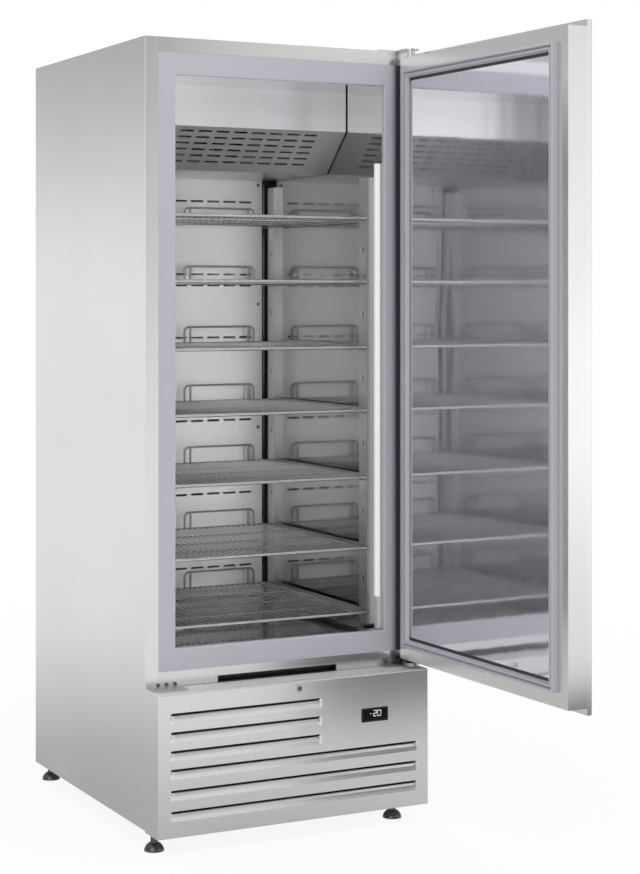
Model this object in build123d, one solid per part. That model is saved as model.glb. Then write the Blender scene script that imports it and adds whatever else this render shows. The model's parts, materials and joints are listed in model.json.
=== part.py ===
from build123d import *
import math
import os

# Upright freezer: a foamed stainless cabinet on four levelling feet, with a machine
# compartment behind a louvred panel at the bottom, a cold chamber with seven wire
# shelves, an evaporator behind a slotted cover under the ceiling, and one door hung on
# the right. Millimetres, +Z up, the front faces -Y. The origin lies on the floor, under
# the middle of the cabinet's footprint. The door stands open by door_open_angle.

os.makedirs("parts", exist_ok=True)

# ---------------------------------------------------------------- driving dimensions
# Cabinet
cabinet_width = 740.0
cabinet_depth = 790.0
cabinet_height = 1910.0
skin = 1.0
fold_radius = 2.0
surround_width = 35.0
foam_front_gap = 2.0
rail_height = 38.0
ceiling_plate_rise = 22.0

# Feet
foot_height = 45.0
foot_front_left_inset = 18.0
foot_front_right_inset = 67.0
foot_rear_left_inset = 35.0
foot_rear_right_inset = 43.0
foot_front_reach = 14.0
foot_rear_inset = 28.0
foot_base_radius = 24.0
foot_base_height = 3.0
foot_shoulder_radius = 12.0
foot_shoulder_height = 19.0
foot_neck_radius = 9.0
foot_neck_top = 24.0
foot_hexagon_radius = 9.5
foot_hexagon_height = 8.0
foot_stem_radius = 5.0
foot_stem_grip = 12.0
thread_clearance = 0.05
pan_thickness = 2.0
pan_neck_gap = 1.0
nut_boss_radius = 11.0
nut_boss_height = 14.0

# Louvred panel below the door
panel_height = 339.0
panel_reach = 82.0
panel_drop = 4.0
panel_fold_radius = 3.0
louvre_height = 25.0
louvre_corner = 8.0
louvre_slot = 7.0
louvre_depth = 8.0
louvre_left = 30.0
short_louvre_right = 303.0
long_louvre_right = 29.0
short_louvre_top_shares = (0.8643, 0.733, 0.6018)
long_louvre_top_shares = (0.472, 0.3245, 0.177)

# Controller and lock
controller_right_gap = 118.0
controller_width = 74.0
controller_top_drop = 84.0
controller_height = 34.0
controller_proud = 2.0
controller_body_depth = 55.0
controller_rim = 4.0
controller_corner = 2.5
window_depth = 1.0
lock_shift = 4.0
lock_drop = 17.0
lock_flange_height = 2.0
lock_face_height = 1.5
lock_flange_radius = 9.5
lock_body_radius = 8.5
lock_body_length = 17.0
lock_barrel_radius = 6.0
lock_clearance = 0.05
lock_cam_length = 31.0
lock_cam_width = 12.0
lock_cam_thickness = 3.0
lock_cam_gap = 0.5
lock_cam_hub_rim = 2.0
keyway_width = 1.4
keyway_height = 8.0
keyway_depth = 8.0

# Door opening and cold chamber
opening_side_frame = 46.0
opening_low_frame = 54.0
opening_high_frame = 55.0
frame_depth = 14.0
frame_set_back = 0.5
frame_edge_radius = 4.0
liner = 1.0
rear_wall = 80.0

# Air slot in the rail
air_slot_left = 192.0
air_slot_right_gap = 221.0
rail_gap = 1.0
air_slot_height = 16.0
air_slot_depth = 24.0
air_slot_wall = 2.0

# Door
door_open_angle = 91.2
seal_gap = 15.0
seal_clearance = 0.5
seal_width = 20.0
seal_edge_radius = 2.5
seal_side_inset = 6.5
seal_low_inset = 17.0
seal_high_inset = 19.0
door_core_thickness = 52.0
door_slab_thickness = 15.0
door_hinge_lip = 14.0
door_end_lip = 16.0
door_gap_below = 6.0
door_gap_above = 5.0
door_edge_radius = 4.0
door_skin = 1.0
door_panel_gap = 8.0
door_panel_thickness = 1.5
door_trim_thickness = 0.8
door_trim_side_gap = 0.3
grip_from_edge = 16.0
grip_width = 24.0
grip_depth = 10.0
grip_end_margin = 40.0

# Hinges
hinge_inset = 25.7
hinge_stand_off = 39.1
hinge_pin_radius = 5.0
hinge_clearance = 0.06
hinge_plate_thickness = 3.0
hinge_tongue_radius = 20.0
hinge_plate_width = 88.0
hinge_plate_depth = 45.0
hinge_plate_side_gap = 4.0
hinge_plate_corner = 12.0
hinge_shelf_depth = 20.0
hinge_flange_height = 17.0
bush_radius = 9.0
bush_flange_radius = 14.0
bush_length = 18.0
bush_end_wall = 1.0
low_bush_flange = 9.5
high_bush_flange = 3.0
bush_running_gap = 0.5
hinge_cam_radius = 20.0
hinge_collar_radius = 10.0
screw_radius = 2.5
screw_hole_clearance = 0.1
screw_head_radius = 4.5
screw_head_height = 2.5
screw_recess_radius = 1.6
screw_pitch = 22.0
screw_shift = 8.0
low_plate_gap = 2.0
low_screw_rise = 11.0
blanking_screw_rise = 7.5
spare_plate_depth = 60.0
spare_plate_thickness = 2.0
spare_plate_corner = 16.0

# Shelves, by each front rail's share of the height from the chamber's floor to the
# evaporator cover
shelf_shares = (0.0322, 0.1729, 0.3271, 0.4729, 0.611, 0.7542, 0.8924)
shelf_front = 60.0
shelf_rear_gap = 60.0
shelf_side_gap = 16.0
shelf_side_inset = 7.0
shelf_rail_radius = 4.5
shelf_bar_radius = 3.0
shelf_wire_radius = 1.8
shelf_wire_count = 31
shelf_cross_bars = 3
weld_overlap = 0.6
weld_gap = 0.2
back_stop_height = 45.0
back_stop_inner = 15.0
back_stop_end_gap = 45.0
back_stop_bend = 14.0
back_stop_leg_inset = 18.0

# Shelf posts and runners
post_width = 43.0
post_depth = 14.0
post_sheet = 1.2
post_front = 67.5
post_rear_gap = 97.0
post_low_gap = 6.0
post_high_gap = 21.0
post_slot_width = 6.0
post_slot_height = 12.0
runner_sheet = 1.2
runner_width = 18.0
runner_height = 17.0
runner_front = 70.0
runner_gap = 0.5

# Lamp on the right jamb
lamp_tail_gap = 1.0
lamp_tail_height = 82.0
lamp_rise = 12.0
lamp_front = 18.0
lamp_width = 14.0
lamp_depth = 14.0
lamp_channel_depth = 4.0
lamp_tail_step = 2.0
lamp_end_gap = 0.5
lamp_edge_radius = 3.0

# Evaporator cover and rear air duct
cover_sheet = 1.2
cover_side_gap = 3.0
cover_front = 205.0
cover_slope_depth = 109.0
cover_drop = 209.0
cover_fascia_height = 103.0
duct_depth = 38.0
duct_side_gap = 24.0
duct_low_gap = 4.0
air_slit_length = 38.0
cover_slit_width = 6.0
cover_slit_margin = 84.0
cover_slit_shift = -14.0
cover_slit_columns = 9
cover_slit_rows = 6
cover_slit_row_pitch = 20.8
cover_slit_first_row = 16.0
duct_slit_width = 5.5
duct_slit_margin = 41.35
duct_slit_shift = -11.0
duct_slit_columns = 10
duct_slit_shares = (0.0763, 0.2508, 0.4254, 0.5975, 0.6233, 0.7475, 0.7737, 0.9475)
duct_screw_margin = 12.5
duct_screw_shares = (0.1093, 0.4059, 0.7025, 0.9898)

# Evaporator
coil_side_gap = 86.0
coil_rear_gap = 32.0
coil_depth = 188.0
coil_low_gap = 34.0
coil_high_gap = 30.0
fin_thickness = 1.0
coil_fins = 21
coil_tube_radius = 5.0
coil_tube_overhang = 8.0
coil_tube_columns = 3
coil_tube_rows = 3
cold_fan_radius = 84.0
cold_fan_rise = 105.0
cold_fan_gap = 50.0
cold_motor_radius = 28.0
cold_motor_length = 34.0
motor_stay_half_height = 6.0
fan_hub_radius = 26.0
fan_tip_clearance = 4.0
fan_blade_count = 5
fan_blade_chord = 46.0
fan_blade_root = 4.0
fan_blade_thickness = 2.0
fan_blade_pitch = 32.0
fan_hub_length = 24.0
fan_shaft_radius = 3.0
fan_shaft_clearance = 0.05
fan_shaft_end = 1.0
fan_axial_gap = 2.0
drain_pan_depth = 24.0
drain_pan_margin = 20.0
drain_pan_front_margin = 8.0
drain_spout_half_width = 9.0
drain_spout_height = 8.0
drain_tube_radius = 7.0
drain_tube_bore = 5.0
drain_tube_gap = 19.0
drain_tube_end = 60.0

# Machine compartment
condenser_left = 40.0
condenser_right_gap = 310.0
condenser_front = 20.0
condenser_depth = 60.0
condenser_low = 30.0
condenser_high_gap = 39.0
condenser_fins = 25
condenser_tube_rows = 6
condenser_tube_columns = 2
shroud_gap = 6.0
shroud_fold = 20.0
warm_fan_margin = 34.0
warm_motor_radius = 38.0
warm_motor_length = 55.0
warm_motor_gap = 6.0
bracket_arm_radius = 2.5
bracket_stud_radius = 3.5
compressor_from_right = 270.0
compressor_from_back = 270.0
compressor_radius = 88.0
compressor_shoulder = 20.0
compressor_body_height = 118.0
compressor_dome = 40.0
compressor_port_drop = 40.0
compressor_plate_size = (230.0, 170.0)
compressor_plate_thickness = 3.0
compressor_plate_corner = 20.0
compressor_mount_height = 20.0
compressor_mount_radius = 13.0
compressor_mount_inset = 22.0
terminal_cover_width = 68.0
terminal_cover_depth = 26.0
terminal_cover_rise = 30.0
electrical_box_size = (150.0, 180.0, 130.0)
electrical_box_from_right = 180.0
electrical_box_front = 110.0
electrical_lid_height = 12.0
electrical_lid_rim = 3.0
tray_size = (300.0, 110.0, 48.0)
tray_left = 100.0
tray_back_gap = 30.0
tray_wall = 1.5
pipe_radius = 4.0
pipe_bend = 24.0
discharge_loop = 46.0
liquid_run = 62.0
liquid_stand_off = 150.0
suction_run = 60.0
gland_from_right = 100.0
gland_level = 120.0
gland_radius = 11.0
gland_flange_radius = 15.0
gland_bore_radius = 4.5
gland_inside = 16.0
gland_outside = 10.0
grille_slot_count = 14
grille_slot_pitch = 30.0
grille_slot_shift = -80.0
grille_slot_width = 8.0
grille_slot_height = 110.0

# ---------------------------------------------------------------- planes and levels
half_width = cabinet_width / 2
front = -cabinet_depth / 2
back = cabinet_depth / 2
base = foot_height
top = base + cabinet_height
panel_face = front - panel_reach
inner_half_width = half_width - skin
inner_front = front + skin + foam_front_gap
panel_top = base + panel_height
frame_half_width = half_width - surround_width
frame_low = panel_top + rail_height
frame_high = top - surround_width
opening_half_width = frame_half_width - opening_side_frame
opening_low = frame_low + opening_low_frame
opening_high = frame_high - opening_high_frame
frame_back = front + frame_depth
chamber_back = back - rear_wall
ceiling_plate_low = panel_top + ceiling_plate_rise - skin
duct_front = chamber_back - duct_depth
drain_tube_y = duct_front + drain_tube_gap
cover_low = opening_high - cover_drop


def from_left(distance):
    """The x of a point this far in from the cabinet's left side."""
    return -half_width + distance


def from_right(distance):
    """The x of a point this far in from the cabinet's right side."""
    return half_width - distance


def from_front(distance):
    """The y of a point this far behind the cabinet's front plane."""
    return front + distance


def level(height):
    """The z of a point this far above the cabinet's base."""
    return base + height


def room_level(share):
    """The z at a share of the height from the chamber's floor to the evaporator cover."""
    return opening_low + share * (cover_low - opening_low)


def slab(x, y, z):
    """A box from its limits: x, y and z are each a pair, in either order."""
    (x0, x1), (y0, y1), (z0, z1) = sorted(x), sorted(y), sorted(z)
    return Pos((x0 + x1) / 2, (y0 + y1) / 2, (z0 + z1) / 2) * Box(x1 - x0, y1 - y0, z1 - z0)


def rod(start, end, radius):
    """A round bar from one point to another."""
    axis = Vector(*end) - Vector(*start)
    plane = Plane(origin=start, z_dir=axis)
    return extrude(plane * Circle(radius), axis.length)


def outline_along_x(points, x0, x1):
    """A prism along X whose section is given as (y, z) points."""
    corners = [(x0, y, z) for y, z in points]
    face = make_face(Polyline(*corners, close=True))
    return extrude(face, amount=x1 - x0, dir=(1, 0, 0))


def evenly(low, high, count):
    """This many values from low to high, both included."""
    return [low + (high - low) * i / (count - 1) for i in range(count)]


def centred(centre, pitch, count):
    """This many values with a steady pitch, centred on one value."""
    return [centre + pitch * (i - (count - 1) / 2) for i in range(count)]


def upright_edges_at(solid, x, y):
    """The vertical edges of a solid that stand over one point of the floor."""
    near = [
        edge
        for edge in solid.edges().filter_by(Axis.Z)
        if math.hypot(edge.center().X - x, edge.center().Y - y) < 0.01
    ]
    return ShapeList(near)


def save(node, *shapes):
    """Write one node's solids to its own file."""
    solids = [solid for shape in shapes for solid in shape.solids()]
    export_step(Compound(children=solids), f"parts/{node}.step")


def screw(seat, outward, grip):
    """A pan-head screw: its head stands on the seat and its shank goes in by the grip."""
    seat, outward = Vector(*seat), Vector(*outward)
    head_top = seat + outward * screw_head_height
    head = rod(seat, head_top, screw_head_radius)
    shank = rod(seat, (seat - outward * grip), screw_radius)
    recess_end = seat + outward * (screw_head_height / 2)
    return head + shank - rod(head_top, recess_end, screw_recess_radius)


def screw_hole(seat, outward, grip):
    """The hole that a screw takes through the sheets that it holds."""
    seat, outward = Vector(*seat), Vector(*outward)
    start, end = seat + outward * skin, seat - outward * (grip + skin)
    return rod(start, end, screw_radius + screw_hole_clearance)


def mirrored_x(low, high):
    """The pair of x limits on the other side of the cabinet's middle."""
    return -high, -low


# ---------------------------------------------------------------- cabinet shell
def side_panel(side):
    """The outer side sheet with its folded front flange. Side is -1 left, 1 right."""
    outside = side * half_width
    sheet = slab((outside, outside - side * skin), (front, back), (base, top))
    flange = slab((outside, outside - side * surround_width), (front, front + skin), (base, top))
    panel = sheet + flange
    panel = fillet(upright_edges_at(panel, outside, front), fold_radius)
    corner = (outside - side * skin, front + skin)
    return fillet(upright_edges_at(panel, *corner), fold_radius - skin) - front_screw_holes()


def top_panel():
    """The roof sheet between the side sheets, with its folded front flange."""
    middle = (-frame_half_width, frame_half_width)
    roof = slab((-inner_half_width, inner_half_width), (front + fold_radius, back), (top - skin, top))
    roof += slab(middle, (front, front + fold_radius), (top - skin, top))
    return roof + slab(middle, (front, front + skin), (frame_high, top)) - roof_screw_holes()


def back_panel():
    """The rear sheet over the foam."""
    return slab(
        (-inner_half_width, inner_half_width),
        (back - skin, back),
        (ceiling_plate_low, top - skin),
    )


def rear_grille():
    """The rear sheet of the machine compartment, with its air slots and gland hole."""
    sheet = slab(
        (-inner_half_width, inner_half_width), (back - skin, back), (base, ceiling_plate_low)
    )
    mid = (base + ceiling_plate_low) / 2
    slots = [
        slab(
            (x - grille_slot_width / 2, x + grille_slot_width / 2),
            (back - 2 * skin, back + skin),
            (mid - grille_slot_height / 2, mid + grille_slot_height / 2),
        )
        for x in centred(grille_slot_shift, grille_slot_pitch, grille_slot_count)
    ]
    x, z = from_right(gland_from_right), level(gland_level)
    hole = rod((x, back - 2 * skin, z), (x, back + skin, z), gland_radius)
    return sheet - slots - hole


def foot_places():
    """Each foot's name and its centre on the floor."""
    near, far = from_front(-foot_front_reach), back - foot_rear_inset
    return {
        "front_left": (from_left(foot_front_left_inset), near),
        "front_right": (from_right(foot_front_right_inset), near),
        "rear_left": (from_left(foot_rear_left_inset), far),
        "rear_right": (from_right(foot_rear_right_inset), far),
    }


def base_pan():
    """The compartment's floor, with a threaded boss over each foot."""
    x = (-inner_half_width, inner_half_width)
    z = (base, base + pan_thickness)
    pan = slab(x, (front + fold_radius, back - skin), z)
    pan += slab(x, (panel_face + panel_fold_radius, front), z)
    neck_x = (-frame_half_width + pan_neck_gap, frame_half_width - pan_neck_gap)
    pan += slab(neck_x, (front, front + fold_radius), z)
    for x, y in foot_places().values():
        pan += rod((x, y, base), (x, y, base + nut_boss_height), nut_boss_radius)
        hole_radius = foot_stem_radius + thread_clearance
        pan -= rod((x, y, base - 1), (x, y, base + nut_boss_height + 1), hole_radius)
    return pan


def foot(x, y):
    """A levelling foot: a domed glide, a neck, a hexagon for the spanner and a stem."""
    under = Polyline((0, 0), (foot_base_radius, 0), (foot_base_radius, foot_base_height))
    dome = RadiusArc(under @ 1, (foot_shoulder_radius, foot_shoulder_height), -foot_base_radius)
    over = Polyline(
        dome @ 1,
        (foot_neck_radius, foot_shoulder_height),
        (foot_neck_radius, foot_neck_top),
        (0, foot_neck_top),
        (0, 0),
    )
    glide = revolve(Plane.XZ * make_face(under + dome + over), Axis.Z)
    hexagon = extrude(RegularPolygon(foot_hexagon_radius, 6), foot_hexagon_height)
    stem = rod((0, 0, foot_neck_top), (0, 0, foot_height + foot_stem_grip), foot_stem_radius)
    return Pos(x, y, 0) * (glide + Pos(0, 0, foot_neck_top) * hexagon + stem)


def compartment_ceiling():
    """The sheet under the foam, with the drain tube's hole."""
    sheet = slab(
        (-inner_half_width, inner_half_width),
        (inner_front, back - skin),
        (ceiling_plate_low, ceiling_plate_low + skin),
    )
    return sheet - drain_tube_hole()


def drain_tube_hole():
    """The round hole that the drain tube takes through the foam and its sheets."""
    return rod((0, drain_tube_y, base), (0, drain_tube_y, opening_low + 1), drain_tube_radius)


def insulation():
    """The foam between the shell and the liner, in one piece."""
    foam = slab(
        (-inner_half_width, inner_half_width),
        (inner_front, back - skin),
        (ceiling_plate_low + skin, top - skin),
    )
    frame_seat = slab(
        (-frame_half_width, frame_half_width), (front, frame_back), (frame_low, frame_high)
    )
    cavity = slab(
        (-opening_half_width - liner, opening_half_width + liner),
        (front, chamber_back + liner),
        (opening_low - liner, opening_high + liner),
    )
    return foam - frame_seat - cavity - drain_tube_hole()


def inner_liner():
    """The polished box of the cold chamber, open at the front."""
    outer = slab(
        (-opening_half_width - liner, opening_half_width + liner),
        (frame_back, chamber_back + liner),
        (opening_low - liner, opening_high + liner),
    )
    inner = slab(
        (-opening_half_width, opening_half_width),
        (frame_back - 1, chamber_back),
        (opening_low, opening_high),
    )
    return outer - inner - drain_tube_hole()


def breaker_frame():
    """The plastic frame round the opening, on which the door's seal lands."""
    outer = slab(
        (-frame_half_width, frame_half_width),
        (front + frame_set_back, frame_back),
        (frame_low, frame_high),
    )
    inner = slab(
        (-opening_half_width, opening_half_width),
        (front, frame_back + 1),
        (opening_low, opening_high),
    )
    ring = outer - inner
    face = ring.faces().sort_by(Axis.Y)[0]
    return fillet(face.inner_wires()[0].edges(), frame_edge_radius)


def air_slot_limits():
    """The x and z limits of the air slot in the rail."""
    low = panel_top + rail_gap
    return (from_left(air_slot_left), from_right(air_slot_right_gap)), (low, low + air_slot_height)


def front_rail():
    """The stainless rail between the opening and the louvred panel."""
    x, z = air_slot_limits()
    rail = slab(
        (-frame_half_width, frame_half_width),
        (front, front + skin),
        (panel_top + rail_gap, frame_low),
    )
    return rail - slab(x, (front - 1, front + skin + 1), z) - front_screw_holes()


def air_slot_insert():
    """The black trough behind the rail's slot, open to the front."""
    x, z = air_slot_limits()
    trough = slab(x, (front - 1, front + air_slot_depth), z)
    hollow = slab(
        (x[0] + air_slot_wall, x[1] - air_slot_wall),
        (front - 2, front + air_slot_depth - air_slot_wall),
        (z[0] + air_slot_wall, z[1] - air_slot_wall),
    )
    return trough - hollow


# ---------------------------------------------------------------- louvred panel
def louvre_window(x0, x1, high):
    """The cut for one louvre, round at its two upper corners."""
    low = high - louvre_height
    cut = slab((x0, x1), (panel_face - 1, panel_face + 2 * skin), (low, high))
    corners = cut.edges().filter_by(Axis.Y).sort_by(Axis.Z)[-2:]
    return fillet(corners, louvre_corner)


def louvre_blade(x0, x1, high):
    """The pressed-in blade of one louvre, with a cheek at each end."""
    low, tip = high - louvre_height, high - louvre_slot
    inner = panel_face + louvre_depth
    blade = outline_along_x(
        [
            (panel_face, low),
            (inner, tip),
            (inner + skin, tip),
            (panel_face + skin * 1.2, low - skin / 2),
            (panel_face + skin / 3, low - skin / 2),
        ],
        x0,
        x1,
    )
    cheek = [(panel_face, low), (inner + skin, tip), (panel_face, tip)]
    left = outline_along_x(cheek, x0, x0 + skin)
    right = outline_along_x(cheek, x1 - skin, x1)
    return blade + left + right


def louvre_panel():
    """The removable front of the machine compartment, a folded sheet open at the back."""
    outer = slab((-half_width, half_width), (panel_face, front), (base - panel_drop, panel_top))
    outer = fillet(outer.faces().sort_by(Axis.Y)[0].edges(), panel_fold_radius)
    inner = slab(
        (-half_width + skin, half_width - skin),
        (panel_face + skin, front + 1),
        (base - panel_height, panel_top - skin),
    )
    inner = fillet(inner.faces().sort_by(Axis.Y)[0].edges(), panel_fold_radius - skin)
    panel = outer - inner
    left = from_left(louvre_left)
    rows = [(from_right(short_louvre_right), share) for share in short_louvre_top_shares]
    rows += [(from_right(long_louvre_right), share) for share in long_louvre_top_shares]
    for right, share in rows:
        high = level(share * panel_height)
        panel = panel - louvre_window(left, right, high) + louvre_blade(left, right, high)
    x, z = lock_place()
    panel -= rod((x, panel_face - 1, z), (x, panel_face + 2 * skin, z), lock_body_radius)
    panel -= slab(
        (x - lock_cam_width / 2 - lock_cam_hub_rim, x + lock_cam_length + 1),
        (lock_cam_front() - 1, lock_cam_front() + lock_cam_thickness + 1),
        (panel_top - 2 * skin, panel_top + 1),
    )
    (body_x, body_z) = controller_body_limits()
    return panel - slab(body_x, (panel_face - 1, panel_face + 2 * skin), body_z)


def controller_limits():
    """The x and z limits of the controller's front."""
    x1, z1 = from_right(controller_right_gap), panel_top - controller_top_drop
    return (x1 - controller_width, x1), (z1 - controller_height, z1)


def controller_body_limits():
    """The x and z limits of the controller's body, behind its front."""
    x, z = controller_limits()
    return grown(x, -controller_rim), grown(z, -controller_rim)


def controller():
    """The panel controller: a flat front with a sunk window, and its body behind."""
    front_x, front_z = controller_limits()
    bezel = slab(front_x, (panel_face - controller_proud, panel_face), front_z)
    bezel = fillet(bezel.edges().filter_by(Axis.Y), controller_corner)
    x, z = controller_body_limits()
    body = slab(x, (panel_face, panel_face + controller_body_depth), z)
    sunk = slab(x, (panel_face - controller_proud, panel_face - controller_proud + window_depth), z)
    return bezel + body - sunk


def controller_window():
    """The dark window over the display."""
    x, z = controller_body_limits()
    y = panel_face - controller_proud
    return slab(x, (y, y + window_depth), z)


def lock_place():
    """The x and z of the lock's axis."""
    return lock_shift, panel_top - lock_drop


def lock_cam_front():
    """The y of the cam's front face, just behind the lock's body."""
    return panel_face + lock_body_length + lock_cam_gap


def lock_body():
    """The fixed housing of the cam lock."""
    x, z = lock_place()
    face, end = panel_face - lock_flange_height, panel_face + lock_body_length
    flange = rod((x, face, z), (x, panel_face, z), lock_flange_radius)
    shell = rod((x, panel_face, z), (x, end, z), lock_body_radius)
    return flange + shell - rod((x, face - 1, z), (x, end + 1, z), lock_barrel_radius)


def lock_barrel():
    """The turning barrel with its keyway, and the cam that stops the door."""
    x, z = lock_place()
    cam_y = lock_cam_front()
    cam_end = cam_y + lock_cam_thickness
    plug_radius = lock_barrel_radius - lock_clearance
    plug = rod((x, panel_face - lock_face_height, z), (x, cam_end, z), plug_radius)
    keyway = slab(
        (x - keyway_width / 2, x + keyway_width / 2),
        (panel_face - lock_flange_height, panel_face + keyway_depth),
        (z - keyway_height / 2, z + keyway_height / 2),
    )
    half = lock_cam_width / 2
    tip_x = x + lock_cam_length - half
    cam = slab((x, tip_x), (cam_y, cam_end), (z - half, z + half))
    tip = rod((tip_x, cam_y, z), (tip_x, cam_end, z), half)
    hub = rod((x, cam_y, z), (x, cam_end, z), half + lock_cam_hub_rim)
    return plug - keyway + cam + tip + hub


# ---------------------------------------------------------------- hinges
hinge_x = half_width - hinge_inset
hinge_y = front - hinge_stand_off
door_inner_face = front - seal_gap
door_core_front = door_inner_face - door_core_thickness
door_face = door_core_front - door_slab_thickness
door_slab_low = panel_top + door_gap_below
door_slab_high = top - door_gap_above
door_core_low = door_slab_low + door_end_lip
door_core_high = door_slab_high - door_end_lip
plate_x = (half_width - hinge_plate_side_gap - hinge_plate_width, half_width - hinge_plate_side_gap)
low_plate_low = panel_top + low_plate_gap
low_plate_high = low_plate_low + hinge_plate_thickness


def hinge_screw_places():
    """The x of the three screws of each hinge."""
    return centred(sum(plate_x) / 2 - screw_shift, screw_pitch, 3)


def low_hinge_screws():
    """The seat, direction and grip of the lower hinge's screws."""
    grip = hinge_plate_thickness + skin + foam_front_gap / 2
    y, z = front - hinge_plate_thickness, panel_top + low_screw_rise
    return [((x, y, z), (0, -1, 0), grip) for x in hinge_screw_places()]


def blanking_screws():
    """The seat, direction and grip of the screws in the spare hinge's holes."""
    grip = skin + foam_front_gap / 2
    z = panel_top + blanking_screw_rise
    return [((-x, front, z), (0, -1, 0), grip) for x in hinge_screw_places()]


def roof_screws():
    """The seat, direction and grip of the upper hinge's screws."""
    y, z = from_front(hinge_plate_depth / 2), top + hinge_plate_thickness
    grip = hinge_plate_thickness + skin
    return [((x, y, z), (0, 0, 1), grip) for x in hinge_screw_places()]


def front_screw_holes():
    """The holes of the lower hinge and of the spare one."""
    return [screw_hole(*place) for place in low_hinge_screws() + blanking_screws()]


def roof_screw_holes():
    """The holes of the upper hinge."""
    return [screw_hole(*place) for place in roof_screws()]


def duct_screws():
    """The seat, direction and grip of the screws of the air duct's front sheet."""
    offset = duct_half_width - duct_screw_margin
    return [
        ((x, duct_front, room_level(share)), (0, -1, 0), cover_sheet)
        for x in (-offset, offset)
        for share in duct_screw_shares
    ]


def tongue(z0, z1):
    """The rounded tongue of a hinge plate, from the cabinet out to the pin."""
    side = hinge_tongue_radius
    nose = rod((hinge_x, hinge_y, z0), (hinge_x, hinge_y, z1), side)
    arm = slab((hinge_x - side, hinge_x + side), (hinge_y, front), (z0, z1))
    return arm + nose


def top_hinge_plate():
    """The upper hinge: a plate screwed on the roof, its tongue and the pin below."""
    z = (top, top + hinge_plate_thickness)
    plate = slab(plate_x, (front, from_front(hinge_plate_depth)), z)
    corners = plate.edges().filter_by(Axis.Z).sort_by(Axis.Y)[-2:]
    plate = fillet(corners, hinge_plate_corner) + tongue(*z)
    pin_low = door_core_high - bush_length + 2 * bush_end_wall
    pin = rod((hinge_x, hinge_y, pin_low), (hinge_x, hinge_y, top), hinge_pin_radius)
    collar_low = door_core_high + high_bush_flange + bush_running_gap
    collar = rod((hinge_x, hinge_y, collar_low), (hinge_x, hinge_y, top), hinge_collar_radius)
    return plate + pin + collar - roof_screw_holes()


def bottom_hinge_bracket():
    """The lower hinge: a flange on the rail, a tongue, the fixed cam and the pin above."""
    z = (low_plate_low, low_plate_high)
    flange_z = (low_plate_low, low_plate_high + hinge_flange_height)
    flange = slab(plate_x, (front - hinge_plate_thickness, front), flange_z)
    ledge = slab(plate_x, (from_front(-hinge_shelf_depth), front), z)
    cam_high = door_core_low - low_bush_flange - bush_running_gap
    cam = rod((hinge_x, hinge_y, z[1]), (hinge_x, hinge_y, cam_high), hinge_cam_radius)
    pin_high = door_core_low + bush_length - 2 * bush_end_wall
    pin = rod((hinge_x, hinge_y, z[0]), (hinge_x, hinge_y, pin_high), hinge_pin_radius)
    return flange + ledge + tongue(*z) + cam + pin - front_screw_holes()


def spare_hinge_plate():
    """The plain plate at the left, where the hinge goes when the door is hung there."""
    z = (panel_top, panel_top + spare_plate_thickness)
    plate = slab(mirrored_x(*plate_x), (from_front(-spare_plate_depth), front), z)
    corners = plate.edges().filter_by(Axis.Z).sort_by(Axis.Y)[:2]
    return fillet(corners, spare_plate_corner)


# ---------------------------------------------------------------- door, drawn closed
door_pose = Pos(hinge_x, hinge_y, 0) * Rot(0, 0, door_open_angle) * Pos(-hinge_x, -hinge_y, 0)
core_x = (-half_width, half_width - door_hinge_lip)
core_z = (door_core_low, door_core_high)
seal_x = (-frame_half_width + seal_side_inset, frame_half_width - seal_side_inset)
seal_z = (frame_low + seal_low_inset, frame_high - seal_high_inset)


def grown(limits, by):
    """A pair of limits moved out by a distance, or in by a negative one."""
    return limits[0] - by, limits[1] + by


def grip_channel(allowance):
    """The upright finger channel in the door's front, near its free edge."""
    x0 = -half_width + grip_from_edge
    x = grown((x0, x0 + grip_width), allowance)
    z = grown((door_slab_low + grip_end_margin, door_slab_high - grip_end_margin), allowance)
    return slab(x, (door_face - 1, door_face + grip_depth + allowance), z)


def door_outer_skin():
    """The front sheet, folded back round its edges, with the grip pressed into it."""
    outer = slab((-half_width, half_width), (door_face, door_core_front), (door_slab_low, door_slab_high))
    outer = fillet(outer.faces().sort_by(Axis.Y)[0].edges(), door_edge_radius)
    inner = slab(
        (-half_width + door_skin, half_width - door_skin),
        (door_face + door_skin, door_core_front - door_skin),
        (door_slab_low + door_skin, door_slab_high - door_skin),
    )
    inner = fillet(inner.faces().sort_by(Axis.Y)[0].edges(), door_edge_radius - door_skin)
    mouth = slab(
        grown(core_x, -door_skin),
        (door_core_front - 2 * door_skin, door_core_front + 1),
        grown(core_z, -door_skin),
    )
    tray = outer - (inner - grip_channel(door_skin)) - mouth
    return tray - grip_channel(0)


def door_foam():
    """The foam in the door's core and behind its front sheet."""
    behind_front = slab(
        grown((-half_width, half_width), -door_edge_radius),
        (door_face + door_skin, door_core_front - door_skin),
        grown((door_slab_low, door_slab_high), -door_edge_radius),
    )
    core = slab(
        grown(core_x, -door_skin),
        (door_core_front - door_skin, door_inner_face - door_skin),
        grown(core_z, -door_skin),
    )
    return behind_front + core - grip_channel(door_skin) - bush_pockets()


def bush_pockets():
    """The room for the two hinge bushes in the door's core."""
    low = (door_core_low - 1, door_core_low + bush_length)
    high = (door_core_high - bush_length, door_core_high + 1)
    return [
        rod((hinge_x, hinge_y, z0), (hinge_x, hinge_y, z1), bush_radius) for z0, z1 in (low, high)
    ]


def door_inner_pan():
    """The sheet round the core: its four sides and the border outside the inner panel."""
    outer = slab(core_x, (door_core_front, door_inner_face), core_z)
    inner = slab(
        grown(core_x, -door_skin),
        (door_core_front - 1, door_inner_face - door_skin),
        grown(core_z, -door_skin),
    )
    return outer - inner - bush_pockets()


def door_inner_panel():
    """The mirror-bright panel inside the seal."""
    inset = seal_width + door_panel_gap
    return slab(
        grown(seal_x, -inset),
        (door_inner_face, door_inner_face + door_panel_thickness),
        grown(seal_z, -inset),
    )


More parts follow.
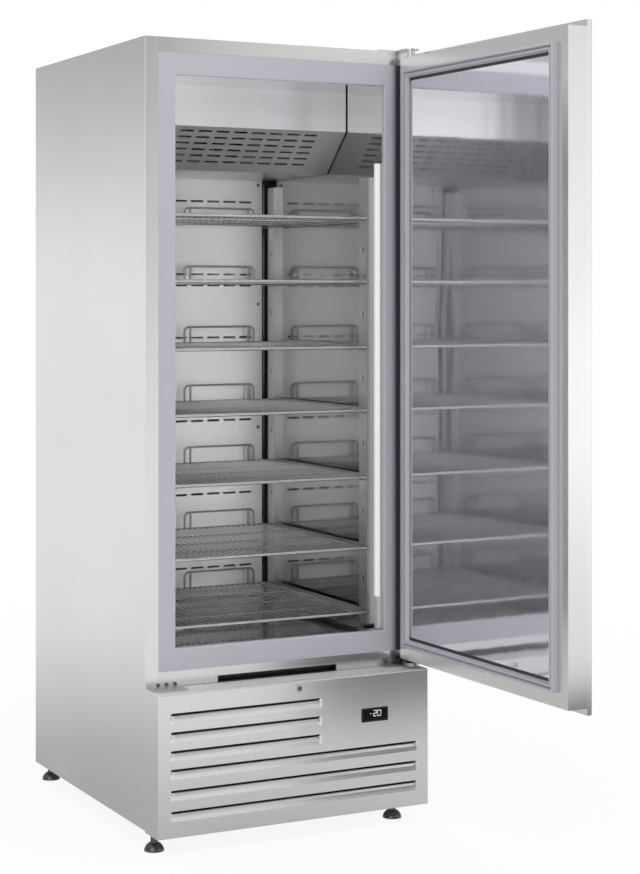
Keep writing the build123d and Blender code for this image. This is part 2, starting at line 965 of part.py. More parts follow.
def door_seal_trim():
    """The dark strip between the seal and the inner panel."""
    y = (door_inner_face, door_inner_face + door_trim_thickness)
    inset = seal_width + door_trim_side_gap
    hole_inset = seal_width + door_panel_gap - door_trim_side_gap
    outer = slab(grown(seal_x, -inset), y, grown(seal_z, -inset))
    return outer - slab(grown(seal_x, -hole_inset), grown(y, 1), grown(seal_z, -hole_inset))


def door_gasket():
    """The magnetic seal, a mitred ring on the core's inner face."""
    lip = door_inner_face + seal_gap - seal_clearance
    outer = slab(seal_x, (door_inner_face, lip), seal_z)
    inner = slab(grown(seal_x, -seal_width), (door_inner_face - 1, lip + 1), grown(seal_z, -seal_width))
    ring = outer - inner
    face = ring.faces().sort_by(Axis.Y)[-1]
    return fillet(face.outer_wire().edges() + face.inner_wires()[0].edges(), seal_edge_radius)


def hinge_bushes():
    """The two flanged bushes in which the door turns."""
    bore = hinge_pin_radius + hinge_clearance
    bushes = []
    for end, into, flange in (
        (door_core_low, 1, low_bush_flange),
        (door_core_high, -1, high_bush_flange),
    ):
        deep = end + into * bush_length
        rim = end - into * flange
        body = rod((hinge_x, hinge_y, end), (hinge_x, hinge_y, deep), bush_radius)
        collar = rod((hinge_x, hinge_y, end), (hinge_x, hinge_y, rim), bush_flange_radius)
        hole = rod((hinge_x, hinge_y, rim - into), (hinge_x, hinge_y, deep - into * bush_end_wall), bore)
        bushes.append(body + collar - hole)
    return bushes


# ---------------------------------------------------------------- cold chamber
shelf_levels = [room_level(share) for share in shelf_shares]
shelf_y = (from_front(shelf_front), chamber_back - shelf_rear_gap)
shelf_half_width = opening_half_width - shelf_side_gap
lamp_low = opening_low + lamp_tail_gap + lamp_tail_height
lamp_high = cover_low + lamp_rise
cover_half_width = opening_half_width - cover_side_gap
cover_slope_back = from_front(cover_front + cover_slope_depth)
cover_fascia_low = opening_high - cover_fascia_height
duct_half_width = opening_half_width - duct_side_gap


def shelf_post(side, y0):
    """One slotted upright channel on a side wall, open towards the wall."""
    wall, face = side * opening_half_width, side * (opening_half_width - post_depth)
    y = (y0, y0 + post_width)
    z = (opening_low + post_low_gap, cover_low - post_high_gap)
    hollow = slab((wall + side, face + side * post_sheet), grown(y, -post_sheet), grown(z, 1))
    mid = sum(y) / 2
    between = [(a + b) / 2 for a, b in zip(shelf_levels, shelf_levels[1:])]
    slots = [
        slab(
            (face - side, face + side * 2 * post_sheet),
            (mid - post_slot_width / 2, mid + post_slot_width / 2),
            (slot_z - post_slot_height / 2, slot_z + post_slot_height / 2),
        )
        for slot_z in [*shelf_levels, *between]
    ]
    return slab((wall, face), y, z) - hollow - slots


def shelf_posts():
    """The two posts on each side wall."""
    places = (from_front(post_front), chamber_back - post_rear_gap)
    return [shelf_post(side, y0) for side in (-1, 1) for y0 in places]


def shelf_drop():
    """How far the cross bars reach below the middle of a shelf's front rail."""
    return shelf_wire_radius + 2 * shelf_bar_radius - weld_overlap


def shelf_runner(side, shelf_z):
    """The angle runner that carries one side of a shelf between the two posts."""
    face = side * (opening_half_width - post_depth)
    high = shelf_z - shelf_drop() - runner_gap
    low = high - runner_sheet
    y = (from_front(runner_front), shelf_y[1])
    upright = slab((face, face - side * runner_sheet), y, (low, low + runner_height))
    return upright + slab((face, face - side * runner_width), y, (low, high))


def shelf_grid(z):
    """The welded grid of one shelf: front rail, side and rear bars, cross bars and wires."""
    y0, y1 = shelf_y
    edge = shelf_half_width - shelf_side_inset
    rail = rod((-shelf_half_width, y0, z), (shelf_half_width, y0, z), shelf_rail_radius)
    rear = rod((-shelf_half_width, y1, z), (shelf_half_width, y1, z), shelf_bar_radius)
    sides = [rod((x, y0, z), (x, y1, z), shelf_bar_radius) for x in (-edge, edge)]
    bar_z = z - shelf_drop() + shelf_bar_radius
    step = (y1 - y0) / (shelf_cross_bars + 1)
    bars = [
        rod((-edge, y, bar_z), (edge, y, bar_z), shelf_bar_radius)
        for y in centred((y0 + y1) / 2, step, shelf_cross_bars)
    ]
    pitch = 2 * edge / (shelf_wire_count + 1)
    wires = [
        rod((x, y0, z), (x, y1, z), shelf_wire_radius)
        for x in centred(0, pitch, shelf_wire_count)
    ]
    return rail + rear + sides + bars + wires


def back_stop(side, shelf_z):
    """One raised wire loop on a shelf's rear bar, which keeps goods off the duct."""
    y = shelf_y[1]
    foot_z = shelf_z + shelf_bar_radius + weld_gap
    head_z = shelf_z + back_stop_height
    x0, x1 = side * back_stop_inner, side * (shelf_half_width - back_stop_end_gap)
    path = FilletPolyline(
        (x0, y, foot_z), (x0, y, head_z), (x1, y, head_z), (x1, y, foot_z), radius=back_stop_bend
    )
    loop = sweep(Plane(origin=(x0, y, foot_z), z_dir=(0, 0, 1)) * Circle(shelf_bar_radius), path=path)
    legs = [
        rod((x, y, foot_z), (x, y, head_z), shelf_bar_radius)
        for x in (x0 + side * back_stop_leg_inset, x1 - side * back_stop_leg_inset)
    ]
    return loop + legs


def lamp_channel():
    """The lamp's back channel, with the plain cable cover at its lower end."""
    wall = opening_half_width
    y = (from_front(lamp_front), from_front(lamp_front + lamp_width))
    z = (opening_low + lamp_tail_gap, lamp_high)
    channel = slab((wall, wall - lamp_channel_depth), y, z)
    return channel + slab((wall, wall - lamp_depth + lamp_tail_step), y, (z[0], lamp_low))


def lamp_diffuser():
    """The lit diffuser on the lamp's channel."""
    wall = opening_half_width
    y = (from_front(lamp_front), from_front(lamp_front + lamp_width))
    z = (lamp_low + lamp_end_gap, lamp_high)
    diffuser = slab((wall - lamp_channel_depth, wall - lamp_depth), y, z)
    return fillet(diffuser.edges().filter_by(Axis.Z).sort_by(Axis.X)[:2], lamp_edge_radius)


def air_slit(width):
    """The cutter for one round-ended slit, centred on the origin and long along X."""
    return extrude(SlotOverall(air_slit_length, width), 2 * cover_sheet, both=True)


def evaporator_cover():
    """The bent cover under the ceiling: fascia, slotted slope and flat underside."""
    t = cover_sheet
    head = opening_high
    y0, y1, y2 = from_front(cover_front), cover_slope_back, duct_front
    z1, z2 = cover_fascia_low, cover_low
    section = [
        (y0, head),
        (y0, z1),
        (y1, z2),
        (y2, z2),
        (y2, z2 + t),
        (y1 + t / 2, z2 + t),
        (y0 + t, z1 + t / 2),
        (y0 + t, head),
    ]
    cover = outline_along_x(section, -cover_half_width, cover_half_width)
    length = math.hypot(y1 - y0, z2 - z1)
    turn = math.degrees(math.atan2(z2 - z1, y1 - y0))
    distances = [cover_slit_first_row + cover_slit_row_pitch * row for row in range(cover_slit_rows)]
    reach = cover_half_width - cover_slit_margin
    cutter = Rot(turn, 0, 0) * air_slit(cover_slit_width)
    slits = [
        Pos(x, y0 + (y1 - y0) * along / length, z1 + (z2 - z1) * along / length) * cutter
        for x in evenly(cover_slit_shift - reach, cover_slit_shift + reach, cover_slit_columns)
        for along in distances
    ]
    return cover - slits


def rear_duct_panel():
    """The air duct's front sheet, folded back to the rear wall at both sides."""
    t = cover_sheet
    z = (opening_low + duct_low_gap, cover_low)
    x = (-duct_half_width, duct_half_width)
    channel = slab(x, (duct_front, chamber_back), z) - slab(
        grown(x, -t), (duct_front + t, chamber_back + 1), grown(z, 1)
    )
    reach = duct_half_width - duct_slit_margin
    cutter = Rot(90, 0, 0) * air_slit(duct_slit_width)
    slits = [
        Pos(x_mid, duct_front, room_level(share)) * cutter
        for x_mid in evenly(duct_slit_shift - reach, duct_slit_shift + reach, duct_slit_columns)
        for share in duct_slit_shares
    ]
    return channel - slits - [screw_hole(*place) for place in duct_screws()]


def finned_block(x, y, z, fins, rows, columns, plate_z):
    """Fins across X on straight tubes, between two end plates with their own height."""
    t = fin_thickness
    plates = []
    for i, fin_x in enumerate(evenly(x[0] + t / 2, x[1] - t / 2, fins)):
        height = plate_z if i in (0, fins - 1) else z
        plates.append(slab((fin_x - t / 2, fin_x + t / 2), y, height))
    tube_x = grown(x, coil_tube_overhang)
    tubes = [
        rod((tube_x[0], tube_y, tube_z), (tube_x[1], tube_y, tube_z), coil_tube_radius)
        for tube_y in centred(sum(y) / 2, (y[1] - y[0]) / columns, columns)
        for tube_z in centred(sum(z) / 2, (z[1] - z[0]) / rows, rows)
    ]
    return plates[0] + plates[1:] + tubes


coil_x = grown((-cover_half_width, cover_half_width), -coil_side_gap)
coil_y = (duct_front - coil_rear_gap - coil_depth, duct_front - coil_rear_gap)
coil_z = (cover_low + coil_low_gap, opening_high - coil_high_gap)


def evaporator_coil():
    """The finned coil, hung from the ceiling by its end plates."""
    plate_z = (coil_z[0], opening_high)
    return finned_block(
        coil_x, coil_y, coil_z, coil_fins, coil_tube_rows, coil_tube_columns, plate_z
    )


def axial_fan(x, y, z, tip_radius):
    """A bladed wheel on a hub, bored for its shaft, with its axis along Y."""
    hub = rod((x, y, z), (x, y + fan_hub_length, z), fan_hub_radius)
    root = fan_hub_radius - fan_blade_root
    blade = Box(tip_radius - root, fan_blade_thickness, fan_blade_chord)
    blade = Pos((tip_radius + root) / 2, 0, 0) * Rot(fan_blade_pitch, 0, 0) * blade
    middle = Pos(x, y + fan_hub_length / 2, z)
    blades = [middle * Rot(0, 360 * i / fan_blade_count, 0) * blade for i in range(fan_blade_count)]
    tip = rod((x, y - fan_blade_chord, z), (x, y + 2 * fan_blade_chord, z), tip_radius)
    shaft_hole = fan_shaft_radius + fan_shaft_clearance
    bore = rod((x, y - 1, z), (x, y + fan_hub_length + 1, z), shaft_hole)
    return ((hub + blades) & tip) - bore


cold_fan_plate = coil_y[0] - cold_fan_gap
cold_fan_y = cold_fan_plate - fan_axial_gap - fan_hub_length
cold_fan_z = cover_low + cold_fan_rise


def evaporator_fan_frame():
    """The sheet across the evaporator's front, with the fan's opening and its motor stay."""
    y, z = (cold_fan_plate, cold_fan_plate + cover_sheet), cold_fan_z
    x = (-cover_half_width, cover_half_width)
    radius = cold_fan_radius + fan_tip_clearance
    plate = slab(x, y, (cover_low + cover_sheet, opening_high))
    plate -= rod((0, y[0] - 1, z), (0, y[1] + 1, z), radius)
    half = motor_stay_half_height
    plate += slab((-radius - skin, radius + skin), y, (z - half, z + half))
    return plate - rod((0, y[0] - 1, z), (0, y[1] + 1, z), fan_shaft_radius + skin)


def evaporator_fan_motor():
    """The motor behind its stay, with the shaft that carries the fan."""
    y, z = cold_fan_plate + cover_sheet, cold_fan_z
    case = rod((0, y, z), (0, y + cold_motor_length, z), cold_motor_radius)
    return case + rod((0, cold_fan_y + fan_shaft_end, z), (0, y, z), fan_shaft_radius)


def drain_pan():
    """The tray under the coil, with a spout at its rear and the tube down to the base."""
    x = grown(coil_x, drain_pan_margin)
    y = (coil_y[0] - drain_pan_front_margin, duct_front)
    z0 = cover_low + cover_sheet
    tray = slab(x, y, (z0, z0 + drain_pan_depth))
    hollow = slab(grown(x, -tray_wall), grown(y, -tray_wall), (z0 + tray_wall, z0 + drain_pan_depth + 1))
    half = drain_spout_half_width
    spout = slab((-half, half), (y[1], drain_tube_y + half), (z0, z0 + drain_spout_height))
    channel = slab(
        grown((-half, half), -tray_wall),
        (y[1] - 2 * tray_wall, drain_tube_y + half - tray_wall),
        (z0 + tray_wall, z0 + drain_spout_height + 1),
    )
    tube = rod((0, drain_tube_y, level(drain_tube_end)), (0, drain_tube_y, z0), drain_tube_radius)
    bore_end = z0 + 2 * tray_wall
    bore = rod((0, drain_tube_y, level(drain_tube_end) - 1), (0, drain_tube_y, bore_end), drain_tube_bore)
    return tray + spout + tube - hollow - channel - bore


# ---------------------------------------------------------------- machine compartment
floor_z = base + pan_thickness
condenser_x = (from_left(condenser_left), from_right(condenser_right_gap))
condenser_y = (from_front(condenser_front), from_front(condenser_front + condenser_depth))
condenser_z = (level(condenser_low), panel_top + ceiling_plate_rise - condenser_high_gap)
shroud_y = condenser_y[1] + shroud_gap
warm_fan_x = sum(condenser_x) / 2
warm_fan_z = sum(condenser_z) / 2
warm_fan_radius = (condenser_z[1] - condenser_z[0]) / 2 - warm_fan_margin
warm_fan_y = shroud_y + cover_sheet + fan_axial_gap
warm_motor_y = warm_fan_y + fan_hub_length + warm_motor_gap
compressor_x = from_right(compressor_from_right)
compressor_y = back - compressor_from_back
compressor_plate_low = floor_z + compressor_mount_height
compressor_pot_low = compressor_plate_low + compressor_plate_thickness
compressor_waist = compressor_pot_low + compressor_shoulder
compressor_top = compressor_waist + compressor_body_height


def condenser():
    """The finned condenser behind the louvres, standing on its end plates."""
    return finned_block(
        condenser_x,
        condenser_y,
        condenser_z,
        condenser_fins,
        condenser_tube_rows,
        condenser_tube_columns,
        (floor_z, condenser_z[1]),
    )


def condenser_shroud():
    """The plate behind the condenser, with the round opening for its fan."""
    plate = slab(condenser_x, (shroud_y, shroud_y + cover_sheet), (floor_z, condenser_z[1]))
    fold = slab(condenser_x, (shroud_y, shroud_y + shroud_fold), (floor_z, floor_z + cover_sheet))
    hole = rod(
        (warm_fan_x, shroud_y - 1, warm_fan_z),
        (warm_fan_x, shroud_y + cover_sheet + 1, warm_fan_z),
        warm_fan_radius + fan_tip_clearance,
    )
    return plate + fold - hole


def condenser_fan_motor():
    """The motor on its four rods from the shroud, with the shaft that carries the fan."""
    x, z = warm_fan_x, warm_fan_z
    case = rod((x, warm_motor_y, z), (x, warm_motor_y + warm_motor_length, z), warm_motor_radius)
    motor = case + rod((x, warm_fan_y + fan_shaft_end, z), (x, warm_motor_y, z), fan_shaft_radius)
    start = warm_motor_radius - bracket_arm_radius
    reach = warm_fan_radius + fan_tip_clearance + 2 * bracket_stud_radius
    arm_y = warm_motor_y + bracket_stud_radius
    for turn in (45, 135, 225, 315):
        dx, dz = math.cos(math.radians(turn)), math.sin(math.radians(turn))
        arm_start = (x + start * dx, arm_y, z + start * dz)
        arm_end = (x + reach * dx, arm_y, z + reach * dz)
        stud_start = (arm_end[0], shroud_y + cover_sheet, arm_end[2])
        stud_end = (arm_end[0], arm_y + bracket_stud_radius, arm_end[2])
        motor += rod(arm_start, arm_end, bracket_arm_radius)
        motor += rod(stud_start, stud_end, bracket_stud_radius)
    return motor


def compressor():
    """The hermetic compressor: a domed pot welded to its foot plate."""
    r, z = compressor_radius, compressor_top
    outline = [
        (0, compressor_pot_low),
        (r - compressor_shoulder, compressor_pot_low),
        (r, compressor_waist),
        (r, z),
    ]
    side = Polyline(*[(x, 0, height) for x, height in outline])
    crown = ThreePointArc(
        (r, 0, z),
        (r * math.cos(math.pi / 4), 0, z + compressor_dome * math.sin(math.pi / 4)),
        (0, 0, z + compressor_dome),
    )
    axis_line = Line((0, 0, z + compressor_dome), (0, 0, compressor_pot_low))
    pot = revolve(make_face(side + crown + axis_line), Axis.Z)
    size_x, size_y = compressor_plate_size
    plate = Box(size_x, size_y, compressor_plate_thickness)
    plate = fillet(plate.edges().filter_by(Axis.Z), compressor_plate_corner)
    plate_z = (compressor_plate_low + compressor_pot_low) / 2
    terminal = slab(
        (-terminal_cover_width / 2, terminal_cover_width / 2),
        (-compressor_radius - terminal_cover_depth, -compressor_radius / 2),
        (compressor_waist + terminal_cover_rise, compressor_top),
    )
    return Pos(compressor_x, compressor_y, 0) * (pot + Pos(0, 0, plate_z) * plate + terminal)


def compressor_mounts():
    """The four rubber mounts between the pan and the compressor's plate."""
    dx = compressor_plate_size[0] / 2 - compressor_mount_inset
    dy = compressor_plate_size[1] / 2 - compressor_mount_inset
    return [
        rod((x, y, floor_z), (x, y, compressor_plate_low), compressor_mount_radius)
        for x in (compressor_x - dx, compressor_x + dx)
        for y in (compressor_y - dy, compressor_y + dy)
    ]


def electrical_box():
    """The closed box for the supply terminals and relays."""
    x0, y0 = from_right(electrical_box_from_right), from_front(electrical_box_front)
    w, d, h = electrical_box_size
    x, y = (x0, x0 + w), (y0, y0 + d)
    case = slab(x, y, (floor_z, floor_z + h))
    lid_z = (floor_z + h - electrical_lid_height, floor_z + h)
    return case + slab(grown(x, electrical_lid_rim), grown(y, electrical_lid_rim), lid_z)


def condensate_tray():
    """The open tray that catches the melt water."""
    w, d, h = tray_size
    x0, y1 = from_left(tray_left), back - skin - tray_back_gap
    x, y = (x0, x0 + w), (y1 - d, y1)
    hollow = slab(grown(x, -tray_wall), grown(y, -tray_wall), (floor_z + tray_wall, floor_z + h + 1))
    return slab(x, y, (floor_z, floor_z + h)) - hollow


def bent_pipe(points):
    """A round pipe along straight runs joined by arcs."""
    start = Plane(origin=points[0], z_dir=Vector(*points[1]) - Vector(*points[0]))
    return sweep(start * Circle(pipe_radius), path=FilletPolyline(*points, radius=pipe_bend))


def refrigerant_pipes():
    """The discharge line to the condenser, the liquid line and the suction line."""
    port_z = compressor_top - compressor_port_drop
    right = compressor_x + compressor_radius
    loop_x = right + discharge_loop
    rear = compressor_y + compressor_radius
    tube_end = condenser_x[1] + coil_tube_overhang
    tube_y = condenser_y[1] - condenser_depth / condenser_tube_columns / 2
    half_pitch = (condenser_z[1] - condenser_z[0]) / condenser_tube_rows / 2
    high_tube, low_tube = condenser_z[1] - half_pitch, condenser_z[0] + half_pitch
    lift_x, lift_y = tube_end + liquid_run, compressor_y - liquid_stand_off
    discharge = [
        (right, compressor_y, port_z),
        (loop_x, compressor_y, port_z),
        (loop_x, compressor_y, high_tube),
        (loop_x, tube_y, high_tube),
        (tube_end, tube_y, high_tube),
    ]
    liquid = [
        (tube_end, tube_y, low_tube),
        (lift_x, tube_y, low_tube),
        (lift_x, lift_y, low_tube),
        (lift_x, lift_y, ceiling_plate_low),
    ]
    suction = [
        (compressor_x, rear, port_z),
        (compressor_x, rear + suction_run, port_z),
        (compressor_x, rear + suction_run, ceiling_plate_low),
    ]
    return [bent_pipe(points) for points in (discharge, liquid, suction)]


def cord_gland():
    """The gland in the rear sheet through which the supply cord leaves."""
    x, z = from_right(gland_from_right), level(gland_level)
    nut_y = back - skin - gland_inside
    body = rod((x, nut_y, z), (x, back, z), gland_radius)
    nut = rod((x, nut_y, z), (x, back - skin, z), gland_flange_radius)
    flange = rod((x, back, z), (x, back + gland_outside, z), gland_flange_radius)
    bore = rod((x, nut_y - 1, z), (x, back + gland_outside + 1, z), gland_bore_radius)
    return body + nut + flange - bore


# ---------------------------------------------------------------- write the nodes
save("side_panel_left", side_panel(-1))
save("side_panel_right", side_panel(1))
save("top_panel", top_panel())
save("back_panel", back_panel())
save("rear_grille", rear_grille())
save("base_pan", base_pan())
save("compartment_ceiling", compartment_ceiling())
save("insulation", insulation())
save("inner_liner", inner_liner())
save("breaker_frame", breaker_frame())
save("front_rail", front_rail())
save("air_slot_insert", air_slot_insert())
save("louvre_panel", louvre_panel())
save("controller", controller())
save("controller_window", controller_window())
save("lock_body", lock_body())
save("lock_barrel", lock_barrel())
for place, (foot_x, foot_y) in foot_places().items():
    save(f"foot_{place}", foot(foot_x, foot_y))

save("top_hinge_plate", top_hinge_plate())
save("bottom_hinge_bracket", bottom_hinge_bracket())
save("spare_hinge_plate", spare_hinge_plate())
save(
    "screws",
    *[screw(*place) for place in low_hinge_screws() + blanking_screws() + roof_screws() + duct_screws()],
)
save("door_outer_skin", door_pose * door_outer_skin())
save("door_foam", door_pose * door_foam())
save("door_inner_pan", door_pose * door_inner_pan())
save("door_inner_panel", door_pose * door_inner_panel())
save("door_seal_trim", door_pose * door_seal_trim())
save("door_gasket", door_pose * door_gasket())
save("hinge_bushes", *[door_pose * bush for bush in hinge_bushes()])

save("shelf_posts", *shelf_posts())
save("shelf_runners", *[shelf_runner(side, shelf_z) for side in (-1, 1) for shelf_z in shelf_levels])
first_grid = shelf_grid(shelf_levels[0])
first_stops = [back_stop(side, shelf_levels[0]) for side in (-1, 1)]
for number, shelf_z in enumerate(shelf_levels, start=1):
    lift = Pos(0, 0, shelf_z - shelf_levels[0])
    save(f"shelf_{number}", lift * first_grid, *[lift * stop for stop in first_stops])

save("lamp_channel", lamp_channel())
save("lamp_diffuser", lamp_diffuser())
save("evaporator_cover", evaporator_cover())
save("rear_duct_panel", rear_duct_panel())
save("evaporator_coil", evaporator_coil())
save("evaporator_fan_frame", evaporator_fan_frame())
save("evaporator_fan_motor", evaporator_fan_motor())
save("evaporator_fan", axial_fan(0, cold_fan_y, cold_fan_z, cold_fan_radius))
save("drain_pan", drain_pan())

save("condenser", condenser())
save("condenser_shroud", condenser_shroud())
save("condenser_fan_motor", condenser_fan_motor())
save("condenser_fan", axial_fan(warm_fan_x, warm_fan_y, warm_fan_z, warm_fan_radius))
save("compressor", compressor())
save("compressor_mounts", *compressor_mounts())
save("electrical_box", electrical_box())
save("condensate_tray", condensate_tray())
save("refrigerant_pipes", *refrigerant_pipes())
save("cord_gland", cord_gland())
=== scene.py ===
"""Upright freezer: finishes, small trim and the studio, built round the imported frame.

Metres, +Z up. The cabinet's front faces -Y and its door is hung on the right, at +X.
"""

import json
import math

import bmesh
import bpy
from bpy.props import FloatProperty, FloatVectorProperty, PointerProperty
from mathutils import Matrix, Vector


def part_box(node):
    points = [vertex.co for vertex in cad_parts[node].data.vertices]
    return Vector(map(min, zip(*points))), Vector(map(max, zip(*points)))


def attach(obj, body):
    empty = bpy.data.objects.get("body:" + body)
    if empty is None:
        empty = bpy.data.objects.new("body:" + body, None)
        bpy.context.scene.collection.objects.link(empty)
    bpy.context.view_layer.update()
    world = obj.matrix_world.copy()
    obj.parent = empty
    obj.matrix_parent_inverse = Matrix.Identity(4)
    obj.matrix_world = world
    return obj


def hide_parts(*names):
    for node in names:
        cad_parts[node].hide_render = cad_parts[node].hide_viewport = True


bl_info = {
    "name": "Upright Freezer",
    "version": (1, 0, 0),
    "blender": (4, 5, 0),
    "location": "View3D > Sidebar > Freezer",
    "description": "Dresses an upright freezer with its finishes and small trim",
    "category": "Object",
}

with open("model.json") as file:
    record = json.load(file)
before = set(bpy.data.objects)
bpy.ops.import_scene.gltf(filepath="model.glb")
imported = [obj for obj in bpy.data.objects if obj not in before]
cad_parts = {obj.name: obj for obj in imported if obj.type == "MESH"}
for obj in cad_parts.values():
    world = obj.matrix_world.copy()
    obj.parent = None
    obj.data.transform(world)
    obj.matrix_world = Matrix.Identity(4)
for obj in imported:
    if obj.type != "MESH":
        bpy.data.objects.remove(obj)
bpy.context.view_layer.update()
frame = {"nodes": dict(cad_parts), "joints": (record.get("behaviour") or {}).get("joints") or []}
DOOR_HINGE = next(joint for joint in frame["joints"] if joint["name"] == "door_hinge")
MM = 0.001


# ---------------------------------------------------------------- settings
class FreezerStageSettings(bpy.types.PropertyGroup):
    """Camera, floor and lamps."""

    camera_place: FloatVectorProperty(
        name="Camera place", description="Where the camera stands", subtype="TRANSLATION",
        unit="LENGTH", default=(-2.1727, -4.7894, 1.3358),
    )
    camera_heading: FloatProperty(
        name="Camera heading", description="How far the camera turns to the right",
        subtype="ANGLE", default=0.4779,
    )
    camera_lens: FloatProperty(
        name="Focal length", description="Focal length for a 36 mm high picture", unit="CAMERA",
        default=81.17,
    )
    camera_shift: FloatProperty(
        name="Vertical shift", description="Shift that keeps upright edges upright", default=-0.1644,
    )
    floor_color: FloatVectorProperty(
        name="Floor", description="Colour of the floor", subtype="COLOR", default=(0.93, 0.93, 0.93),
    )
    horizon: FloatProperty(
        name="Horizon", description="How bright the studio is at eye level", default=0.95,
    )
    ceiling: FloatProperty(
        name="Ceiling", description="How bright the studio is above", default=0.45,
    )
    behind_camera: FloatProperty(
        name="Behind the camera", description="Share of the studio's brightness in front of the freezer",
        default=0.68,
    )
    ambient: FloatProperty(
        name="Ambient light", description="How much light comes from all round", default=0.80,
    )
    key_power: FloatProperty(
        name="Key lamp", description="Power of the soft box at the left front", unit="POWER", default=48.0,
    )
    fill_power: FloatProperty(
        name="Fill lamp", description="Power of the soft box at the right front", unit="POWER", default=22.0,
    )
    top_power: FloatProperty(
        name="Top lamp", description="Power of the soft box above", unit="POWER", default=40.0,
    )
    glow_power: FloatProperty(
        name="Chamber light", description="Power of the light in the chamber", unit="POWER", default=6.8,
    )


class FreezerFinishSettings(bpy.types.PropertyGroup):
    """Colours of the freezer's own finishes."""

    steel: FloatVectorProperty(
        name="Satin steel", description="Colour of the outer sheets", subtype="COLOR",
        default=(0.80, 0.80, 0.795),
    )
    liner_steel: FloatVectorProperty(
        name="Bright steel", description="Colour of the chamber's lining", subtype="COLOR",
        default=(0.47, 0.47, 0.475),
    )
    duct_steel: FloatVectorProperty(
        name="Duct steel", description="Colour of the air duct and the evaporator cover", subtype="COLOR",
        default=(0.88, 0.88, 0.88),
    )
    frame_plastic: FloatVectorProperty(
        name="Frame plastic", description="Colour of the frame round the opening", subtype="COLOR",
        default=(0.475, 0.475, 0.53),
    )
    door_mirror: FloatVectorProperty(
        name="Door mirror", description="Colour of the door's inner sheet", subtype="COLOR",
        default=(0.78, 0.79, 0.84),
    )
    seal: FloatVectorProperty(
        name="Seal", description="Colour of the door's seal", subtype="COLOR",
        default=(0.45, 0.46, 0.50),
    )
    lamp_strength: FloatProperty(
        name="Lamp strength", description="How brightly the chamber's lamp glows", min=0.0, default=0.40,
    )
    digit_strength: FloatProperty(
        name="Digit strength", description="How brightly the display's digits glow", min=0.0, default=0.75,
    )
    grain_length: FloatProperty(
        name="Grain length", description="Length of the brushed lines", unit="LENGTH", default=0.12,
    )


class FreezerTrimSettings(bpy.types.PropertyGroup):
    """Places and sizes of the trim that is modelled here."""

    louvre_left: FloatProperty(
        name="Louvres' left end", description="X of the louvres' left ends", unit="LENGTH", default=-0.340,
    )
    short_louvre_right: FloatProperty(
        name="Short louvres' right end", description="X of the right ends of the upper louvres",
        unit="LENGTH", default=0.067,
    )
    long_louvre_right: FloatProperty(
        name="Long louvres' right end", description="X of the right ends of the lower louvres",
        unit="LENGTH", default=0.341,
    )
    louvre_height: FloatProperty(
        name="Louvre height", description="Height of a louvre", unit="LENGTH", default=0.025,
    )
    louvre_depth: FloatProperty(
        name="Louvre depth", description="How far a louvre is pressed in", unit="LENGTH", default=0.0078,
    )
    digit_height: FloatProperty(
        name="Digit height", description="Height of the display's digits", unit="LENGTH", default=0.0150,
    )


# ---------------------------------------------------------------- shader maths
class Signal:
    """A node's output; arithmetic on it adds Math nodes."""

    def __init__(self, network, socket):
        self.network = network
        self.socket = socket

    def _math(self, operation, *values):
        return self.network.node("ShaderNodeMath", {"operation": operation}, dict(enumerate(values)))

    def __add__(self, other):
        return self._math("ADD", self, other)

    __radd__ = __add__

    def __sub__(self, other):
        return self._math("SUBTRACT", self, other)

    def __rsub__(self, other):
        return self._math("SUBTRACT", other, self)

    def __mul__(self, other):
        return self._math("MULTIPLY", self, other)

    __rmul__ = __mul__

    def __abs__(self):
        return self._math("ABSOLUTE", self)


class Network:
    """A tree of shader nodes."""

    def __init__(self, tree):
        self.tree = tree

    def feed(self, socket, value):
        """Link a signal to a socket, or give the socket a constant."""
        if isinstance(value, Signal):
            self.tree.links.new(value.socket, socket)
        elif hasattr(socket.default_value, "__len__") and len(socket.default_value) == 4:
            socket.default_value = (*value[:3], 1.0)
        else:
            socket.default_value = value

    def node(self, kind, settings=None, inputs=None, output=0):
        """Add a node: its settings first, then the values or links of its sockets."""
        node = self.tree.nodes.new(kind)
        for key, value in (settings or {}).items():
            if key == "stops":
                self._stops(node.color_ramp, value)
            else:
                setattr(node, key, value)
        for key, value in (inputs or {}).items():
            self.feed(node.inputs[key], value)
        return Signal(self, node.outputs[output])

    def _stops(self, ramp, stops):
        while len(ramp.elements) < len(stops):
            ramp.elements.new(0.5)
        for element, (place, color) in zip(ramp.elements, stops):
            element.position = place
            element.color = (*color, 1.0) if hasattr(color, "__len__") else (color, color, color, 1.0)

    def axes(self, coordinates="Object"):
        """Three coordinates as separate signals."""
        source = self.node("ShaderNodeTexCoord", output=coordinates)
        split = self.node("ShaderNodeSeparateXYZ", inputs={0: source})
        return [Signal(self, output) for output in split.socket.node.outputs]

    def rays(self, kind):
        """1 for one kind of ray, such as Camera, and 0 for the others."""
        return self.node("ShaderNodeLightPath", output=f"Is {kind} Ray")

    def span(self, value, low, high, to_low=0.0, to_high=1.0, curve="LINEAR"):
        """A value mapped from one range to another, and held at its ends."""
        settings = {"clamp": True, "interpolation_type": curve}
        inputs = {"Value": value, "From Min": low, "From Max": high, "To Min": to_low, "To Max": to_high}
        return self.node("ShaderNodeMapRange", settings, inputs)


